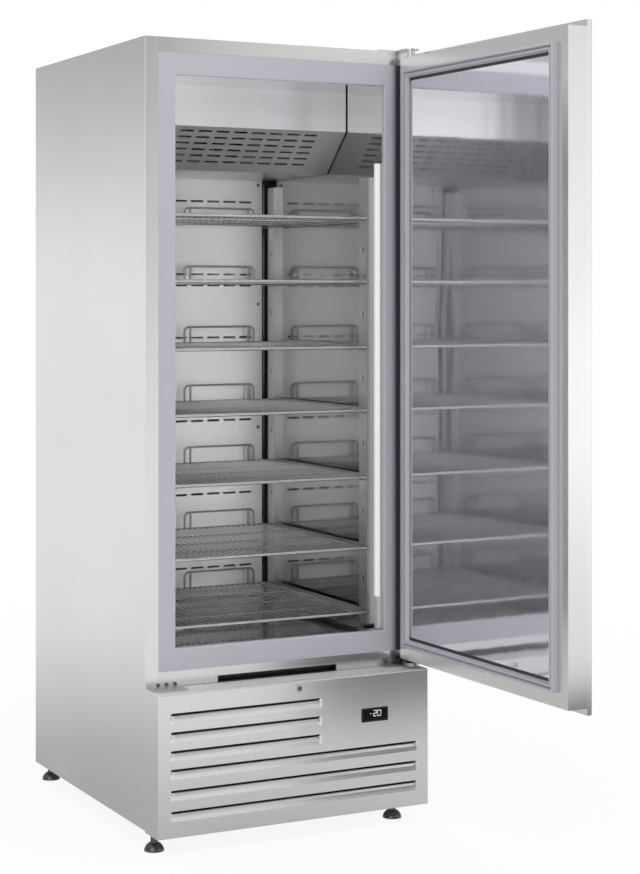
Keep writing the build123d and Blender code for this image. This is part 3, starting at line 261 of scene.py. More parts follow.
class Finish(Network):
    """A procedural material round one Principled shader."""

    def __init__(self, name, **constants):
        self.data = bpy.data.materials.new(name)
        self.data.use_nodes = True
        super().__init__(self.data.node_tree)
        self.shader = self.tree.nodes["Principled BSDF"]
        self.set(**constants)

    def set(self, **inputs):
        """Give the shader's sockets a constant or a link: base_color is Base Color."""
        for key, value in inputs.items():
            self.feed(self.shader.inputs[key.replace("_", " ").title().replace("Ior", "IOR")], value)

    def place(self, scale=(1, 1, 1), offset=(0, 0, 0)):
        """Object coordinates, moved and scaled."""
        source = self.node("ShaderNodeTexCoord", output="Object")
        inputs = {"Vector": source, "Location": offset, "Scale": scale}
        return self.node("ShaderNodeMapping", {"vector_type": "POINT"}, inputs)

    def noise(self, scale, detail=3.0, roughness=0.5, at=None):
        """Noise from 0 to 1 on object coordinates."""
        inputs = {"Scale": scale, "Detail": detail, "Roughness": roughness, "Vector": at or self.place()}
        return self.node("ShaderNodeTexNoise", None, inputs, "Fac")

    def ramp(self, value, *stops):
        """A colour or grey that follows a value through its stops."""
        return self.node("ShaderNodeValToRGB", {"stops": stops}, {"Fac": value}, "Color")

    def tint(self, mask, first, second):
        """A blend of two colours."""
        return self.node("ShaderNodeMix", {"data_type": "RGBA"}, {0: mask, 6: first, 7: second}, 2)

    def bump(self, height, strength, distance):
        """Relief that a height gives the surface."""
        inputs = {"Height": height, "Strength": strength, "Distance": distance}
        self.set(normal=self.node("ShaderNodeBump", None, inputs))


# ---------------------------------------------------------------- finishes
GRAIN_FINENESS = 900.0
NEAR_BLACK = (0.03, 0.03, 0.03)
FOAM = (0.78, 0.68, 0.42)
ZINC = (0.55, 0.55, 0.55)


def brushed(finish, axis):
    """A fine grain that is drawn out along one axis."""
    scale = [GRAIN_FINENESS] * 3
    scale[axis] = 1 / bpy.context.scene.freezer_finish.grain_length
    return finish.noise(1.0, detail=2.0, roughness=0.6, at=finish.place(scale))


def satin_steel(name, axis=2, shade=1.0, rough=0.30, ledge=None, metallic=1.0):
    """Brushed stainless sheet with its grain along one axis and faint cloudy handling marks.

    At the height of a ledge the sheet is duller, as a surface is that things are set down on.
    """
    base = Vector(bpy.context.scene.freezer_finish.steel) * shade
    finish = Finish(name, metallic=metallic)
    grain = brushed(finish, axis)
    cloud = finish.noise(2.2, detail=4.0, roughness=0.55)
    finish.set(base_color=finish.tint(finish.span(cloud, 0.3, 0.7), base * 0.97, base * 1.02))
    if ledge:
        dull = finish.span(finish.axes()[2], ledge - 2 * MM, ledge - MM)
        finish.set(roughness=rough + grain * 0.08 + dull * 0.35, metallic=1 - dull * 0.55)
    else:
        smear = finish.noise(9.0, detail=5.0, roughness=0.6, at=finish.place((1.0, 1.0, 0.4)))
        finish.set(roughness=rough - 0.05 + grain * 0.08 + smear * 0.05)
    finish.bump(grain, strength=0.08, distance=0.2 * MM)
    return finish.data


def bright_steel(name, color, rough=0.07, metallic=1.0, ripple_scale=(1.0, 1.0, 0.45), ripple=0.06):
    """Bright annealed sheet that mirrors its surroundings, a little wavy as thin sheet is."""
    base = Vector(color)
    finish = Finish(name, metallic=metallic)
    wave = finish.noise(5.0, detail=2.0, roughness=0.4, at=finish.place(ripple_scale))
    haze = finish.noise(14.0, detail=5.0, roughness=0.6)
    finish.set(
        base_color=finish.tint(finish.span(haze, 0.35, 0.65), base * 0.97, base),
        roughness=rough + finish.span(haze, 0.3, 0.7, 0.0, 0.03),
    )
    finish.bump(wave, strength=ripple, distance=6 * MM)
    return finish.data


def zinc_sheet(name):
    """Galvanised sheet with its crystalline spangle."""
    finish = Finish(name, metallic=1.0)
    inputs = {"Scale": 55.0, "Vector": finish.place()}
    cells = finish.node("ShaderNodeTexVoronoi", {"feature": "F1"}, inputs, "Color")
    tone = finish.node("ShaderNodeRGBToBW", None, {0: cells})
    zinc = Vector(ZINC)
    finish.set(
        base_color=finish.tint(tone, zinc * 0.85, zinc * 1.12),
        roughness=finish.span(tone, 0, 1, 0.32, 0.5),
    )
    finish.bump(finish.noise(160.0), strength=0.15, distance=0.5 * MM)
    return finish.data


def moulded(name, color, rough=0.45, pebble=420.0, relief=0.12, coat=0.0, specular=0.5):
    """Moulded plastic or rubber with a fine pebble and slight tone shifts."""
    base = Vector(color)
    finish = Finish(name, coat_weight=coat, specular_ior_level=specular)
    tone = finish.noise(6.0, detail=4.0, roughness=0.55)
    finish.set(
        base_color=finish.tint(tone, base * 0.94, base * 1.05),
        roughness=rough - 0.06 + tone * 0.12,
    )
    finish.bump(finish.noise(pebble, detail=2.0), strength=relief, distance=0.4 * MM)
    return finish.data


def drawn_metal(name, color, rough=0.16):
    """Bright drawn bar or plated metal with fine draw marks."""
    base = Vector(color)
    finish = Finish(name, metallic=1.0)
    marks = finish.noise(260.0, detail=3.0, roughness=0.6)
    wear = finish.noise(30.0, detail=4.0, roughness=0.6)
    finish.set(
        base_color=finish.tint(finish.span(wear, 0.35, 0.7), base, base * 0.86),
        roughness=rough + marks * 0.12,
    )
    finish.bump(marks, strength=0.10, distance=0.2 * MM)
    return finish.data


def glowing(name, color, base, strength):
    """A lit surface that glows a little unevenly."""
    finish = Finish(name, base_color=base, roughness=0.35, emission_strength=strength)
    glow = finish.noise(40.0, detail=2.0)
    finish.set(emission_color=finish.tint(glow, Vector(color) * 0.94, Vector(color)))
    return finish.data


def dress(material, *nodes):
    """Give CAD nodes a finish."""
    for name in nodes:
        mesh = frame["nodes"][name].data
        mesh.materials.clear()
        mesh.materials.append(material)


# ---------------------------------------------------------------- mesh helpers
def make_object(name, mesh, material):
    """Turn a bmesh into an object in the scene."""
    data = bpy.data.meshes.new(name)
    mesh.to_mesh(data)
    mesh.free()
    data.materials.append(material)
    made = bpy.data.objects.new(name, data)
    bpy.context.scene.collection.objects.link(made)
    return made


def finish_piece(name, mesh, material, body, smooth_angle=35.0):
    """Turn a bmesh into a finished object that rides on a body."""
    bmesh.ops.remove_doubles(mesh, verts=mesh.verts, dist=1e-6)
    bmesh.ops.recalc_face_normals(mesh, faces=mesh.faces)
    piece = make_object(name, mesh, material)
    piece.data.shade_smooth()
    piece.data.set_sharp_from_angle(angle=math.radians(smooth_angle))
    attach(piece, body)
    return piece


def length_along(edge, axis):
    """How far an edge runs along one axis."""
    start, end = edge.verts
    return abs(end.co[axis] - start.co[axis])


def add_block(mesh, low, high, bevel=0.0, segments=2, along=None):
    """Add a box between two corners, with its edges, or those along one axis, bevelled."""
    low, high = Vector(low), Vector(high)
    verts = bmesh.ops.create_cube(mesh, size=1.0)["verts"]
    bmesh.ops.scale(mesh, verts=verts, vec=high - low)
    bmesh.ops.translate(mesh, verts=verts, vec=(low + high) / 2)
    if not bevel:
        return
    edges = dict.fromkeys(edge for vert in verts for edge in vert.link_edges)
    if along is not None:
        edges = [edge for edge in edges if length_along(edge, along) > 1e-7]
    bmesh.ops.bevel(
        mesh, geom=list(edges), offset=bevel, segments=segments, profile=0.5, affect="EDGES", material=-1,
    )


def smooth_share(value):
    """An S-shaped rise from 0 to 1 that is held at its ends."""
    value = min(max(value, 0.0), 1.0)
    return value * value * (3 - 2 * value)


# ---------------------------------------------------------------- stage
class FREEZER_OT_stage(bpy.types.Operator):
    """Make the floor, the soft lamps, the surroundings and the camera"""

    bl_idname = "freezer.stage"
    bl_label = "Stage"

    FLOOR_REACH = 30.0
    FLOOR_DROP = 0.5 * MM
    # The middle of the floor's dimmer patch of painted shade is at minus this offset.
    PATCH_OFFSET = (0.30, -0.20, 0)
    FLAG = ((0.62, -1.68, 0.0), (1.75, -1.65, 0.31))
    # How far up from level the studio fades from its horizon to its ceiling, as a slope.
    HORIZON_BAND = 0.14
    # How far round from the front its dimmer part reaches.
    FRONT_REACH = -0.2

    def execute(self, context):
        settings = context.scene.freezer_stage
        self.make_floor(settings)
        self.make_flag()
        self.make_world(settings)
        self.make_lamps(settings)
        self.make_camera(settings)
        context.scene.view_settings.view_transform = "Standard"
        return {"FINISHED"}

    def make_floor(self, settings):
        """A wide pale floor that keeps the freezer's soft shadow."""
        mesh = bmesh.new()
        bmesh.ops.create_grid(mesh, x_segments=1, y_segments=1, size=self.FLOOR_REACH)
        bmesh.ops.translate(mesh, verts=mesh.verts, vec=(0, 0, -self.FLOOR_DROP))
        floor = make_object("studio_floor", mesh, self.floor_finish(settings.floor_color))

    def floor_finish(self, color):
        """White where the camera looks, and painted shade that makes it dimmer near the freezer where its
        metal mirrors the floor.
        """
        finish = Finish("studio_floor", base_color=color, roughness=0.9, specular_ior_level=0.0)
        seen, mirrored, passed = [finish.rays(kind) for kind in ("Camera", "Glossy", "Transmission")]
        place = finish.place(offset=self.PATCH_OFFSET)
        away = finish.node("ShaderNodeVectorMath", {"operation": "LENGTH"}, {0: place}, 1)
        patch = finish.span(away, 0.6, 5.6)
        patch = finish.ramp(patch, (0.0, 0.40), (0.12, 0.58), (0.4, 0.88), (1.0, 0.95))
        glow = finish.node("ShaderNodeEmission", None, {"Color": finish.tint(seen, patch, (1, 1, 1))})
        share = seen * finish.span(away, 1.2, 4.0, 0.90, 1.0) + (mirrored + passed) * 0.75
        plain = Signal(finish, finish.shader.outputs[0])
        mixed = finish.node("ShaderNodeMixShader", None, {0: share, 1: plain, 2: glow})
        finish.feed(finish.tree.nodes["Material Output"].inputs["Surface"], mixed)
        return finish.data

    def make_flag(self):
        """A low dark card at the front right, out of view, for the louvred panel to mirror."""
        mesh = bmesh.new()
        add_block(mesh, *self.FLAG)
        flag = make_object("dark_flag", mesh, Finish("dark_flag", base_color=NEAR_BLACK, roughness=1.0).data)
        flag.visible_camera = False
        flag.visible_diffuse = False
        flag.visible_shadow = False

    def make_world(self, settings):
        """White where the camera looks, and a studio that is palest at eye level for metal to mirror."""
        world = bpy.data.worlds.new("studio")
        bpy.context.scene.world = world
        world.use_nodes = True
        studio = Network(world.node_tree)
        _, back, up = studio.axes("Generated")
        fade = studio.span(up, 0.0, self.HORIZON_BAND, settings.horizon, settings.ceiling, "SMOOTHSTEP")
        mirrored = fade * studio.span(back, -1.0, self.FRONT_REACH, settings.behind_camera, 1.0)
        light = studio.span(studio.rays("Diffuse"), 0, 1, mirrored, settings.ambient)
        background = world.node_tree.nodes["Background"]
        studio.feed(background.inputs["Color"], (1, 1, 1))
        studio.feed(background.inputs["Strength"], studio.span(studio.rays("Camera"), 0, 1, light, 1.0))

    def make_lamps(self, settings):
        """Soft boxes at the left front, the right and above, and the glow of the chamber's own lamp."""
        self.lamp("key_softbox", (-3.6, -3.8, 3.0), (0, -0.2, 1.0), (4.6, 4.6), settings.key_power)
        self.lamp("fill_softbox", (3.6, -4.4, 2.2), (0.1, -0.4, 1.0), (3.8, 3.8), settings.fill_power)
        self.lamp("top_softbox", (0.0, -1.4, 4.8), (0, -0.3, 0.5), (3.6, 3.6), settings.top_power)
        low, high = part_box("lamp_diffuser")
        middle = (low.z + high.z) / 2
        place = (low.x - 2 * MM, high.y + 4 * MM, middle)
        size = (20 * MM, high.z - low.z)
        glow = self.lamp("chamber_glow", place, (0.0, 0.2, middle), size, settings.glow_power)
        glow.visible_glossy = False

    def lamp(self, name, place, target, size, power):
        """One soft box that looks at a target."""
        data = bpy.data.lights.new(name, "AREA")
        data.shape = "RECTANGLE"
        data.size, data.size_y = size
        data.energy = power
        lamp = bpy.data.objects.new(name, data)
        bpy.context.scene.collection.objects.link(lamp)
        lamp.location = place
        lamp.rotation_euler = (Vector(target) - Vector(place)).to_track_quat("-Z", "Y").to_euler()
        lamp.visible_camera = False
        return lamp

    def make_camera(self, settings):
        """A long lens at the left front, held level, with a shift that keeps upright edges upright."""
        data = bpy.data.cameras.new("camera")
        data.sensor_fit = "AUTO"
        data.sensor_width = 36.0
        data.lens = settings.camera_lens
        data.shift_y = settings.camera_shift
        camera = bpy.data.objects.new("camera", data)
        bpy.context.scene.collection.objects.link(camera)
        camera.location = settings.camera_place
        camera.rotation_euler = (math.pi / 2, 0, -settings.camera_heading)
        bpy.context.scene.camera = camera


# ---------------------------------------------------------------- cabinet
class FREEZER_OT_cabinet(bpy.types.Operator):
    """Finish the cabinet's sheets, foam, frame and base"""

    bl_idname = "freezer.cabinet"
    bl_label = "Cabinet"

    # How far in from the frame's right side its painted shade starts, and where it is darkest.
    PAINTED_SHADE_EDGE = (31 * MM, 11 * MM)

    def execute(self, context):
        settings = context.scene.freezer_finish
        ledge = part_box("louvre_panel")[1].z
        dress(satin_steel("side_sheet", axis=2, rough=0.20), "side_panel_left", "side_panel_right")
        dress(satin_steel("roof_sheet", axis=0, shade=0.95, rough=0.20), "top_panel", "front_rail")
        dress(satin_steel("louvre_sheet", axis=0, rough=0.20, ledge=ledge), "louvre_panel")
        dress(zinc_sheet("zinc_back"), "back_panel", "rear_grille", "base_pan", "compartment_ceiling")
        dress(moulded("cabinet_foam", FOAM, rough=0.8, pebble=90.0, relief=0.4), "insulation")
        dress(self.frame_finish(settings.frame_plastic), "breaker_frame")
        dress(moulded("air_slot", (0.012, 0.012, 0.013), rough=0.35), "air_slot_insert")
        return {"FINISHED"}

    def frame_finish(self, color):
        """Moulded frame plastic with painted shade along the hinge-side edge, where the open door shades it.
        """
        base = Vector(color)
        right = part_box("breaker_frame")[1].x
        finish = Finish("opening_frame")
        tone = finish.noise(6.0, detail=4.0, roughness=0.55)
        plain = finish.tint(tone, base * 0.97, base * 1.03)
        start, end = self.PAINTED_SHADE_EDGE
        # Painted shade: the plastic darkens to near black towards its hinge-side edge.
        edge = finish.span(finish.axes()[0], right - start, right - end)
        finish.set(
            base_color=finish.tint(edge * edge, plain, (0.035, 0.035, 0.05)),
            roughness=0.28 + tone * 0.08,
        )
        finish.bump(finish.noise(420.0, detail=2.0), strength=0.08, distance=0.4 * MM)
        return finish.data


class FREEZER_OT_louvres(bpy.types.Operator):
    """Make the louvres' pressed blades, which fade into the sheet at their foot and ends"""

    bl_idname = "freezer.louvres"
    bl_label = "Louvre blades"

    # Height of each louvre's upper edge, and which of the two right ends it runs to.
    TOPS = (
        (0.3380, "short"), (0.2935, "short"), (0.2490, "short"),
        (0.2050, "long"), (0.1550, "long"), (0.1050, "long"),
    )
    SLOT = 3.4 * MM
    TAPER = 9 * MM
    # A blade's sheet thickness, and how far behind the panel's face its foot starts.
    SKIN = 0.6 * MM
    SET_BACK = 0.1 * MM
    # The share of a blade's depth that it gains evenly; the rest comes in the fold at its upper edge.
    LEAN = 0.32
    FOLD = 6
    # Painted light and shade: how a blade's steel is lighter than the sheet at its shallow foot and greys
    # with depth.
    PAINTED_LIGHT_AND_SHADE = ((0.0, 1.12), (0.28, 1.08), (0.45, 0.82), (0.70, 0.52), (1.0, 0.30))

    def execute(self, context):
        trim = context.scene.freezer_trim
        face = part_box("louvre_panel")[0].y
        rights = {"short": trim.short_louvre_right, "long": trim.long_louvre_right}
        mesh = bmesh.new()
        for top, length in self.TOPS:
            self.add_blade(mesh, trim, face, trim.louvre_left, rights[length], top)
        material = self.blade_finish(trim, face)
        finish_piece("louvre_blades", mesh, material, "cabinet", 60.0)
        return {"FINISHED"}

    def blade_finish(self, trim, face):
        """Brushed sheet with painted shade that greys it with depth in the pressed folds, and painted light
        at its shallow foot.
        """
        steel = Vector(bpy.context.scene.freezer_finish.steel)
        finish = Finish("louvre_blade", metallic=1.0)
        grain = brushed(finish, axis=0)
        # Painted light and shade: the blade's colour follows its depth into the panel.
        deep = finish.span(finish.axes()[1], face, face + trim.louvre_depth)
        stops = [(place, steel * shade) for place, shade in self.PAINTED_LIGHT_AND_SHADE]
        finish.set(base_color=finish.ramp(deep + grain * 0.04, *stops), roughness=0.22 + grain * 0.08)
        finish.bump(grain, strength=0.08, distance=0.2 * MM)
        return finish.data

    def add_blade(self, mesh, trim, face, left, right, top):
        """One blade: a strip that leans into the cabinet towards its upper edge."""
        low = top - trim.louvre_height
        verts = bmesh.ops.create_grid(mesh, x_segments=48, y_segments=14, size=0.5)["verts"]
        for vert in verts:
            x = left + (right - left) * smooth_share(vert.co.x + 0.5)
            up = math.sin(math.pi / 2 * (vert.co.y + 0.5))
            body = smooth_share(min(x - left, right - x) / self.TAPER)
            high = top - self.SLOT * body
            deep = trim.louvre_depth * body * (self.LEAN * up + (1 - self.LEAN) * up**self.FOLD)
            vert.co = (x, face + self.SET_BACK + deep, low + (high - low) * up)
        faces = list(dict.fromkeys(face for vert in verts for face in vert.link_faces))
        bmesh.ops.recalc_face_normals(mesh, faces=faces)
        bmesh.ops.solidify(mesh, geom=faces, thickness=self.SKIN)


# ---------------------------------------------------------------- door
class FREEZER_OT_door(bpy.types.Operator):
    """Finish the door's sheets, foam and bushes"""

    bl_idname = "freezer.door"
    bl_label = "Door"

    # How tall the strip's black ends are, and over what height they fade.
    BLACK_END = 9 * MM
    FADE = 2 * MM

    def execute(self, context):
        color = context.scene.freezer_finish.door_mirror
        mirror = bright_steel(
            "door_mirror", color, rough=0.05, metallic=0.84, ripple_scale=(2.6, 2.6, 0.5), ripple=0.16,
        )
        dress(mirror, "door_inner_panel")
        dress(satin_steel("door_sheet", axis=2, shade=1.04, rough=0.26), "door_outer_skin")
        dress(satin_steel("door_border", axis=2, rough=0.24), "door_inner_pan")
        dress(moulded("door_foam", FOAM, rough=0.8, pebble=90.0, relief=0.4), "door_foam")
        dress(self.strip_finish(), "door_seal_trim")
        dress(moulded("bush_plastic", NEAR_BLACK, rough=0.4), "hinge_bushes")
        return {"FINISHED"}

    def strip_finish(self):
        """The strip round the inner sheet: black along its top and foot, and grey up its sides."""
        low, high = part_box("door_seal_trim")
        finish = Finish("door_strip", roughness=0.4)
        from_middle = abs(finish.axes()[2] - (low.z + high.z) / 2)
        black = (high.z - low.z) / 2 - self.BLACK_END
        ends = finish.span(from_middle, black - self.FADE, black)
        tone = finish.noise(40.0) * 0.2 + ends * 0.8
        stops = (0.0, (0.27, 0.28, 0.30)), (0.2, (0.23, 0.24, 0.26)), (0.8, NEAR_BLACK)
        finish.set(base_color=finish.ramp(tone, *stops))
        finish.bump(finish.noise(300.0, detail=2.0), strength=0.1, distance=0.4 * MM)
        return finish.data


class FREEZER_OT_seal(bpy.types.Operator):
    """Make the door's magnetic seal: a folded bellows with a bulb, mitred at its corners"""

    bl_idname = "freezer.seal"
    bl_label = "Door seal"

    # Across the seal from its outer edge, and out from the door, in millimetres.
    PROFILE = (
        (0.0, 0.0), (0.0, 5.0), (1.0, 8.0), (0.8, 12.5), (2.2, 14.2), (4.5, 14.5), (6.4, 13.6), (7.0, 11.0),
        (7.4, 6.5), (9.2, 5.2), (11.0, 6.5), (11.4, 10.5), (12.6, 12.6), (15.0, 12.9), (16.8, 11.8),
        (17.4, 8.5), (18.2, 5.2), (20.0, 4.0), (20.0, 0.0),
    )

    def execute(self, context):
        hinge = Matrix.Translation(DOOR_HINGE["pos_m"])
        shut_angle = math.radians(DOOR_HINGE["range_deg"][0])
        shut = hinge @ Matrix.Rotation(shut_angle, 4, "Z") @ hinge.inverted()
        places = [shut @ vert.co for vert in frame["nodes"]["door_gasket"].data.vertices]
        low = Vector([min(place[axis] for place in places) for axis in range(3)])
        high = Vector([max(place[axis] for place in places) for axis in range(3)])
        mesh = bmesh.new()
        corners = (
            (low.x, low.z, 1, 1), (high.x, low.z, -1, 1),
            (high.x, high.z, -1, -1), (low.x, high.z, 1, -1),
        )
        rings = [self.ring(mesh, x, z, side, rise, low.y) for x, z, side, rise in corners]
        for first, second in zip(rings, rings[1:] + rings[:1]):
            bmesh.ops.bridge_loops(mesh, edges=first + second)
        bmesh.ops.transform(mesh, matrix=shut.inverted(), verts=mesh.verts)
        material = moulded("seal_rubber", context.scene.freezer_finish.seal, rough=0.5)
        seal = finish_piece("door_seal", mesh, material, "door", 50.0)
        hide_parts("door_gasket")
        return {"FINISHED"}

    def ring(self, mesh, x, z, side, rise, door_face):
        """The seal's outline across one mitred corner, as a loop of edges."""
        verts = [
            mesh.verts.new((x + side * across * MM, door_face + out * MM, z + rise * across * MM))
            for across, out in self.PROFILE
        ]
        return [mesh.edges.new(pair) for pair in zip(verts, verts[1:] + verts[:1])]


# ---------------------------------------------------------------- chamber
class FREEZER_OT_chamber(bpy.types.Operator):
    """Finish the liner, the air duct, the evaporator cover, posts, shelves and lamp"""

    bl_idname = "freezer.chamber"
    bl_label = "Cold chamber"

    def execute(self, context):
        settings = context.scene.freezer_finish
        shelves = [name for name in frame["nodes"] if name.startswith("shelf_") and name[-1].isdigit()]
        duct = bright_steel("duct_sheet", settings.duct_steel, rough=0.48, metallic=0.40)
        cover = satin_steel("cover_sheet", axis=0, shade=1.20, rough=0.32, metallic=0.94)
        glow = glowing("lamp_glow", (1.0, 1.0, 1.0), (0.58, 0.59, 0.61), settings.lamp_strength)
        dress(bright_steel("liner_sheet", settings.liner_steel), "inner_liner")
        dress(duct, "rear_duct_panel")
        dress(cover, "evaporator_cover")
        dress(satin_steel("post_sheet", axis=2, shade=0.95), "shelf_posts")
        dress(satin_steel("runner_sheet", axis=1, shade=0.85), "shelf_runners")
        dress(drawn_metal("shelf_bar", (0.62, 0.62, 0.63), rough=0.15), *shelves)
        dress(glow, "lamp_diffuser")
        dress(moulded("lamp_body", (0.6, 0.6, 0.62), rough=0.35), "lamp_channel")
        return {"FINISHED"}


class FREEZER_OT_post_slot_shades(bpy.types.Operator):
    """Make dark strips behind the posts' slots: painted shade for the hollows seen through them"""

    bl_idname = "freezer.post_linings"
    bl_label = "Post slot shades"

    # Y of the posts' middles, and how far their inner faces are from the chamber's middle.
    POSTS = (-0.3060, 0.2395)
    FACE = 0.2750
    SHEET = 1.2 * MM
    WIDTH = 12 * MM
    END_GAP = 5 * MM

    def execute(self, context):
        low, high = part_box("shelf_posts")
        near, far = self.FACE + self.SHEET, self.FACE + 2 * self.SHEET
        mesh = bmesh.new()
        for y in self.POSTS:
            for left, right in ((-far, -near), (near, far)):
                start = (left, y - self.WIDTH / 2, low.z + self.END_GAP)
                end = (right, y + self.WIDTH / 2, high.z - self.END_GAP)
                add_block(mesh, start, end, bevel=0.3 * MM)
        # Painted shade: near-black strips stand for the shade behind the posts' slots.
        material = moulded("post_slot_shade", (0.012, 0.012, 0.013), rough=0.6)
        finish_piece("post_slot_shades", mesh, material, "cabinet")
        return {"FINISHED"}


class FREEZER_OT_duct_gap_shades(bpy.types.Operator):
    """Make dark strips that close the gaps between the air duct and the chamber's sides: painted shade for
    the deep gaps
    """

    bl_idname = "freezer.duct_seals"
    bl_label = "Duct gap shades"

    # How far the strips' edges are from the chamber's middle, and behind the duct's face.
    ACROSS = (0.2765, 0.2888)
    DEEP = (4 * MM, 12 * MM)

    def execute(self, context):
        low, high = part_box("rear_duct_panel")
        near, far = self.ACROSS
        front, rear = self.DEEP
        mesh = bmesh.new()
        for left, right in ((-far, -near), (near, far)):
            add_block(mesh, (left, low.y + front, low.z), (right, low.y + rear, high.z), bevel=1 * MM)
        # Painted shade: near-black strips stand for the shade in the deep gaps beside the duct.
        material = moulded("duct_gap_shade", (0.015, 0.015, 0.016), rough=0.6)
        finish_piece("duct_gap_shades", mesh, material, "cabinet")
        return {"FINISHED"}


# ---------------------------------------------------------------- machinery
class FREEZER_OT_machinery(bpy.types.Operator):
    """Finish the cooling machinery in the base and behind the evaporator cover"""

    bl_idname = "freezer.machinery"
    bl_label = "Machinery"

    def execute(self, context):
        motor = moulded("motor_enamel", (0.02, 0.02, 0.022), rough=0.3, pebble=200.0, relief=0.1, coat=0.3)
        shell = moulded(
            "compressor_enamel", (0.015, 0.015, 0.017), rough=0.25, pebble=120.0, relief=0.1, coat=0.5,
        )
        dress(drawn_metal("fin_sheet", (0.7, 0.71, 0.72), rough=0.3), "condenser", "evaporator_coil")
        dress(zinc_sheet("fan_plate"), "condenser_shroud", "evaporator_fan_frame")
        dress(motor, "condenser_fan_motor", "evaporator_fan_motor")
        dress(shell, "compressor")
        dress(moulded("fan_plastic", (0.03, 0.03, 0.035), rough=0.4), "condenser_fan", "evaporator_fan")
        dress(moulded("mount_rubber", (0.02, 0.02, 0.02), rough=0.7), "compressor_mounts")
        dress(moulded("box_plastic", (0.06, 0.06, 0.065)), "electrical_box", "cord_gland")
        dress(drawn_metal("tray_sheet", (0.68, 0.69, 0.70), rough=0.35), "condensate_tray", "drain_pan")
        dress(drawn_metal("copper_pipe", (0.72, 0.36, 0.22), rough=0.22), "refrigerant_pipes")
        return {"FINISHED"}


# ---------------------------------------------------------------- fittings
class FREEZER_OT_fittings(bpy.types.Operator):
    """Finish the hinges, lock, controller, screws and feet"""

    bl_idname = "freezer.fittings"
    bl_label = "Fittings"

    def execute(self, context):
        feet = [name for name in frame["nodes"] if name.startswith("foot_")]
        casing = moulded("controller_plastic", (0.010, 0.010, 0.011), rough=0.4, specular=0.25)
        window = moulded(
            "display_glass", (0.003, 0.003, 0.004), rough=0.12, pebble=60.0, relief=0.02, specular=0.2,
        )
        dress(satin_steel("hinge_steel", axis=0, shade=0.9, rough=0.24), "top_hinge_plate")
        dress(satin_steel("spare_plate_steel", axis=0, shade=0.9, rough=0.48), "spare_hinge_plate")
        # Painted shade: the lower hinge bracket's metal is darkened to stand for the shadow and dark
        # surroundings it mirrors.
        dress(drawn_metal("hinge_shaded_metal", (0.42, 0.42, 0.43), rough=0.20), "bottom_hinge_bracket")
        dress(drawn_metal("lock_chrome", (0.72, 0.72, 0.73), rough=0.10), "lock_body")
        dress(drawn_metal("lock_face", (0.22, 0.22, 0.23)), "lock_barrel")
        dress(drawn_metal("screw_steel", (0.20, 0.20, 0.21), rough=0.22), "screws")
        dress(drawn_metal("foot_chrome", (0.17, 0.17, 0.18), rough=0.10), *feet)
        dress(casing, "controller")
        dress(window, "controller_window")
        return {"FINISHED"}


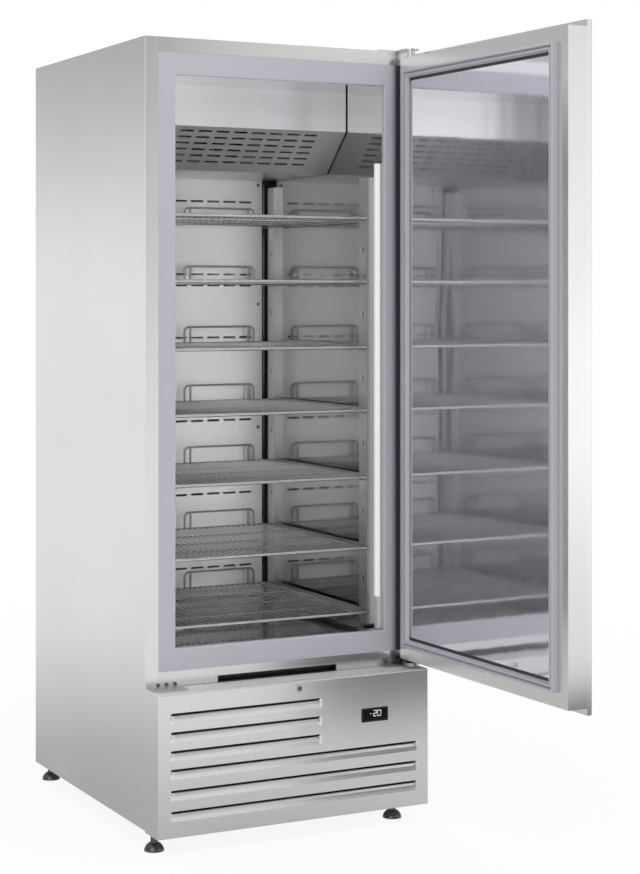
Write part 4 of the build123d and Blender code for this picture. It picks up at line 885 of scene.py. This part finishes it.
class FREEZER_OT_digits(bpy.types.Operator):
    """Make the display's lit segments, which show the set temperature"""

    bl_idname = "freezer.digits"
    bl_label = "Display digits"

    # Left edge, width and lit segments of each sign. The segments t, m and b are the top, middle and
    # bottom ones, u and l the upper and lower left ones, and U and L the upper and lower right ones.
    SIGNS = ((17.5 * MM, 6.5 * MM, "m"), (28 * MM, 10 * MM, "tUmlb"), (40 * MM, 10 * MM, "tuUlLb"))
    # How far the signs stand above the window's middle.
    RAISED = 3.5 * MM
    STROKE = 1.2 * MM
    # How pointed a segment's ends are, where 1 is a full point, and the gap between two segments.
    POINT = 0.96
    GAP = 0.1 * MM
    # How far a segment stands out of the window, and how far it goes in.
    PROUD = 0.1 * MM
    SUNK = 0.2 * MM

    def execute(self, context):
        low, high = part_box("controller_window")
        middle = (low.z + high.z) / 2 + self.RAISED
        tall = context.scene.freezer_trim.digit_height
        mesh = bmesh.new()
        for left, wide, lit in self.SIGNS:
            for segment in lit:
                x, z = self.segment_limits(segment, low.x + left, wide, middle, tall)
                start = (x[0], low.y - self.PROUD, z[0])
                end = (x[1], low.y + self.SUNK, z[1])
                add_block(mesh, start, end, bevel=self.STROKE / 2 * self.POINT, segments=1, along=1)
        strength = context.scene.freezer_finish.digit_strength
        material = glowing("digit_glow", (0.80, 0.90, 1.0), (0.6, 0.65, 0.7), strength)
        finish_piece("display_digits", mesh, material, "cabinet")
        return {"FINISHED"}

    def segment_limits(self, segment, left, wide, middle, tall):
        """The x and z limits of one bar of a sign."""
        half = self.STROKE / 2
        right, top, bottom = left + wide, middle + tall / 2, middle - tall / 2
        levels = {"t": top - half, "m": middle, "b": bottom + half}
        if segment in levels:
            level = levels[segment]
            return (left + half + self.GAP, right - half - self.GAP), (level - half, level + half)
        column = left + half if segment in "ul" else right - half
        x = (column - half, column + half)
        if segment in "uU":
            return x, (middle + self.GAP, top - half - self.GAP)
        return x, (bottom + half + self.GAP, middle - self.GAP)


class FREEZER_PT_panel(bpy.types.Panel):
    """The freezer's parts in the sidebar"""

    bl_label = "Upright Freezer"
    bl_idname = "FREEZER_PT_panel"
    bl_space_type = "VIEW_3D"
    bl_region_type = "UI"
    bl_category = "Freezer"

    def draw(self, context):
        for operator in OPERATORS:
            self.layout.operator(operator.bl_idname)
        for key in SETTINGS:
            settings = getattr(context.scene, key)
            for name in settings.__annotations__:
                self.layout.prop(settings, name)


SETTINGS = {
    "freezer_stage": FreezerStageSettings,
    "freezer_finish": FreezerFinishSettings,
    "freezer_trim": FreezerTrimSettings,
}
OPERATORS = (
    FREEZER_OT_stage,
    FREEZER_OT_cabinet,
    FREEZER_OT_louvres,
    FREEZER_OT_door,
    FREEZER_OT_seal,
    FREEZER_OT_chamber,
    FREEZER_OT_post_slot_shades,
    FREEZER_OT_duct_gap_shades,
    FREEZER_OT_machinery,
    FREEZER_OT_fittings,
    FREEZER_OT_digits,
)
CLASSES = (*SETTINGS.values(), *OPERATORS, FREEZER_PT_panel)


def register():
    """Register the classes and the scene's settings."""
    for cls in CLASSES:
        bpy.utils.register_class(cls)
    for key, settings in SETTINGS.items():
        setattr(bpy.types.Scene, key, PointerProperty(type=settings))


def unregister():
    """Remove them again."""
    for key in SETTINGS:
        delattr(bpy.types.Scene, key)
    for cls in reversed(CLASSES):
        bpy.utils.unregister_class(cls)


def main():
    """Build everything in order."""
    register()
    for operator in OPERATORS:
        group, name = operator.bl_idname.split(".")
        getattr(getattr(bpy.ops, group), name)()


if __name__ == "__main__":
    main()
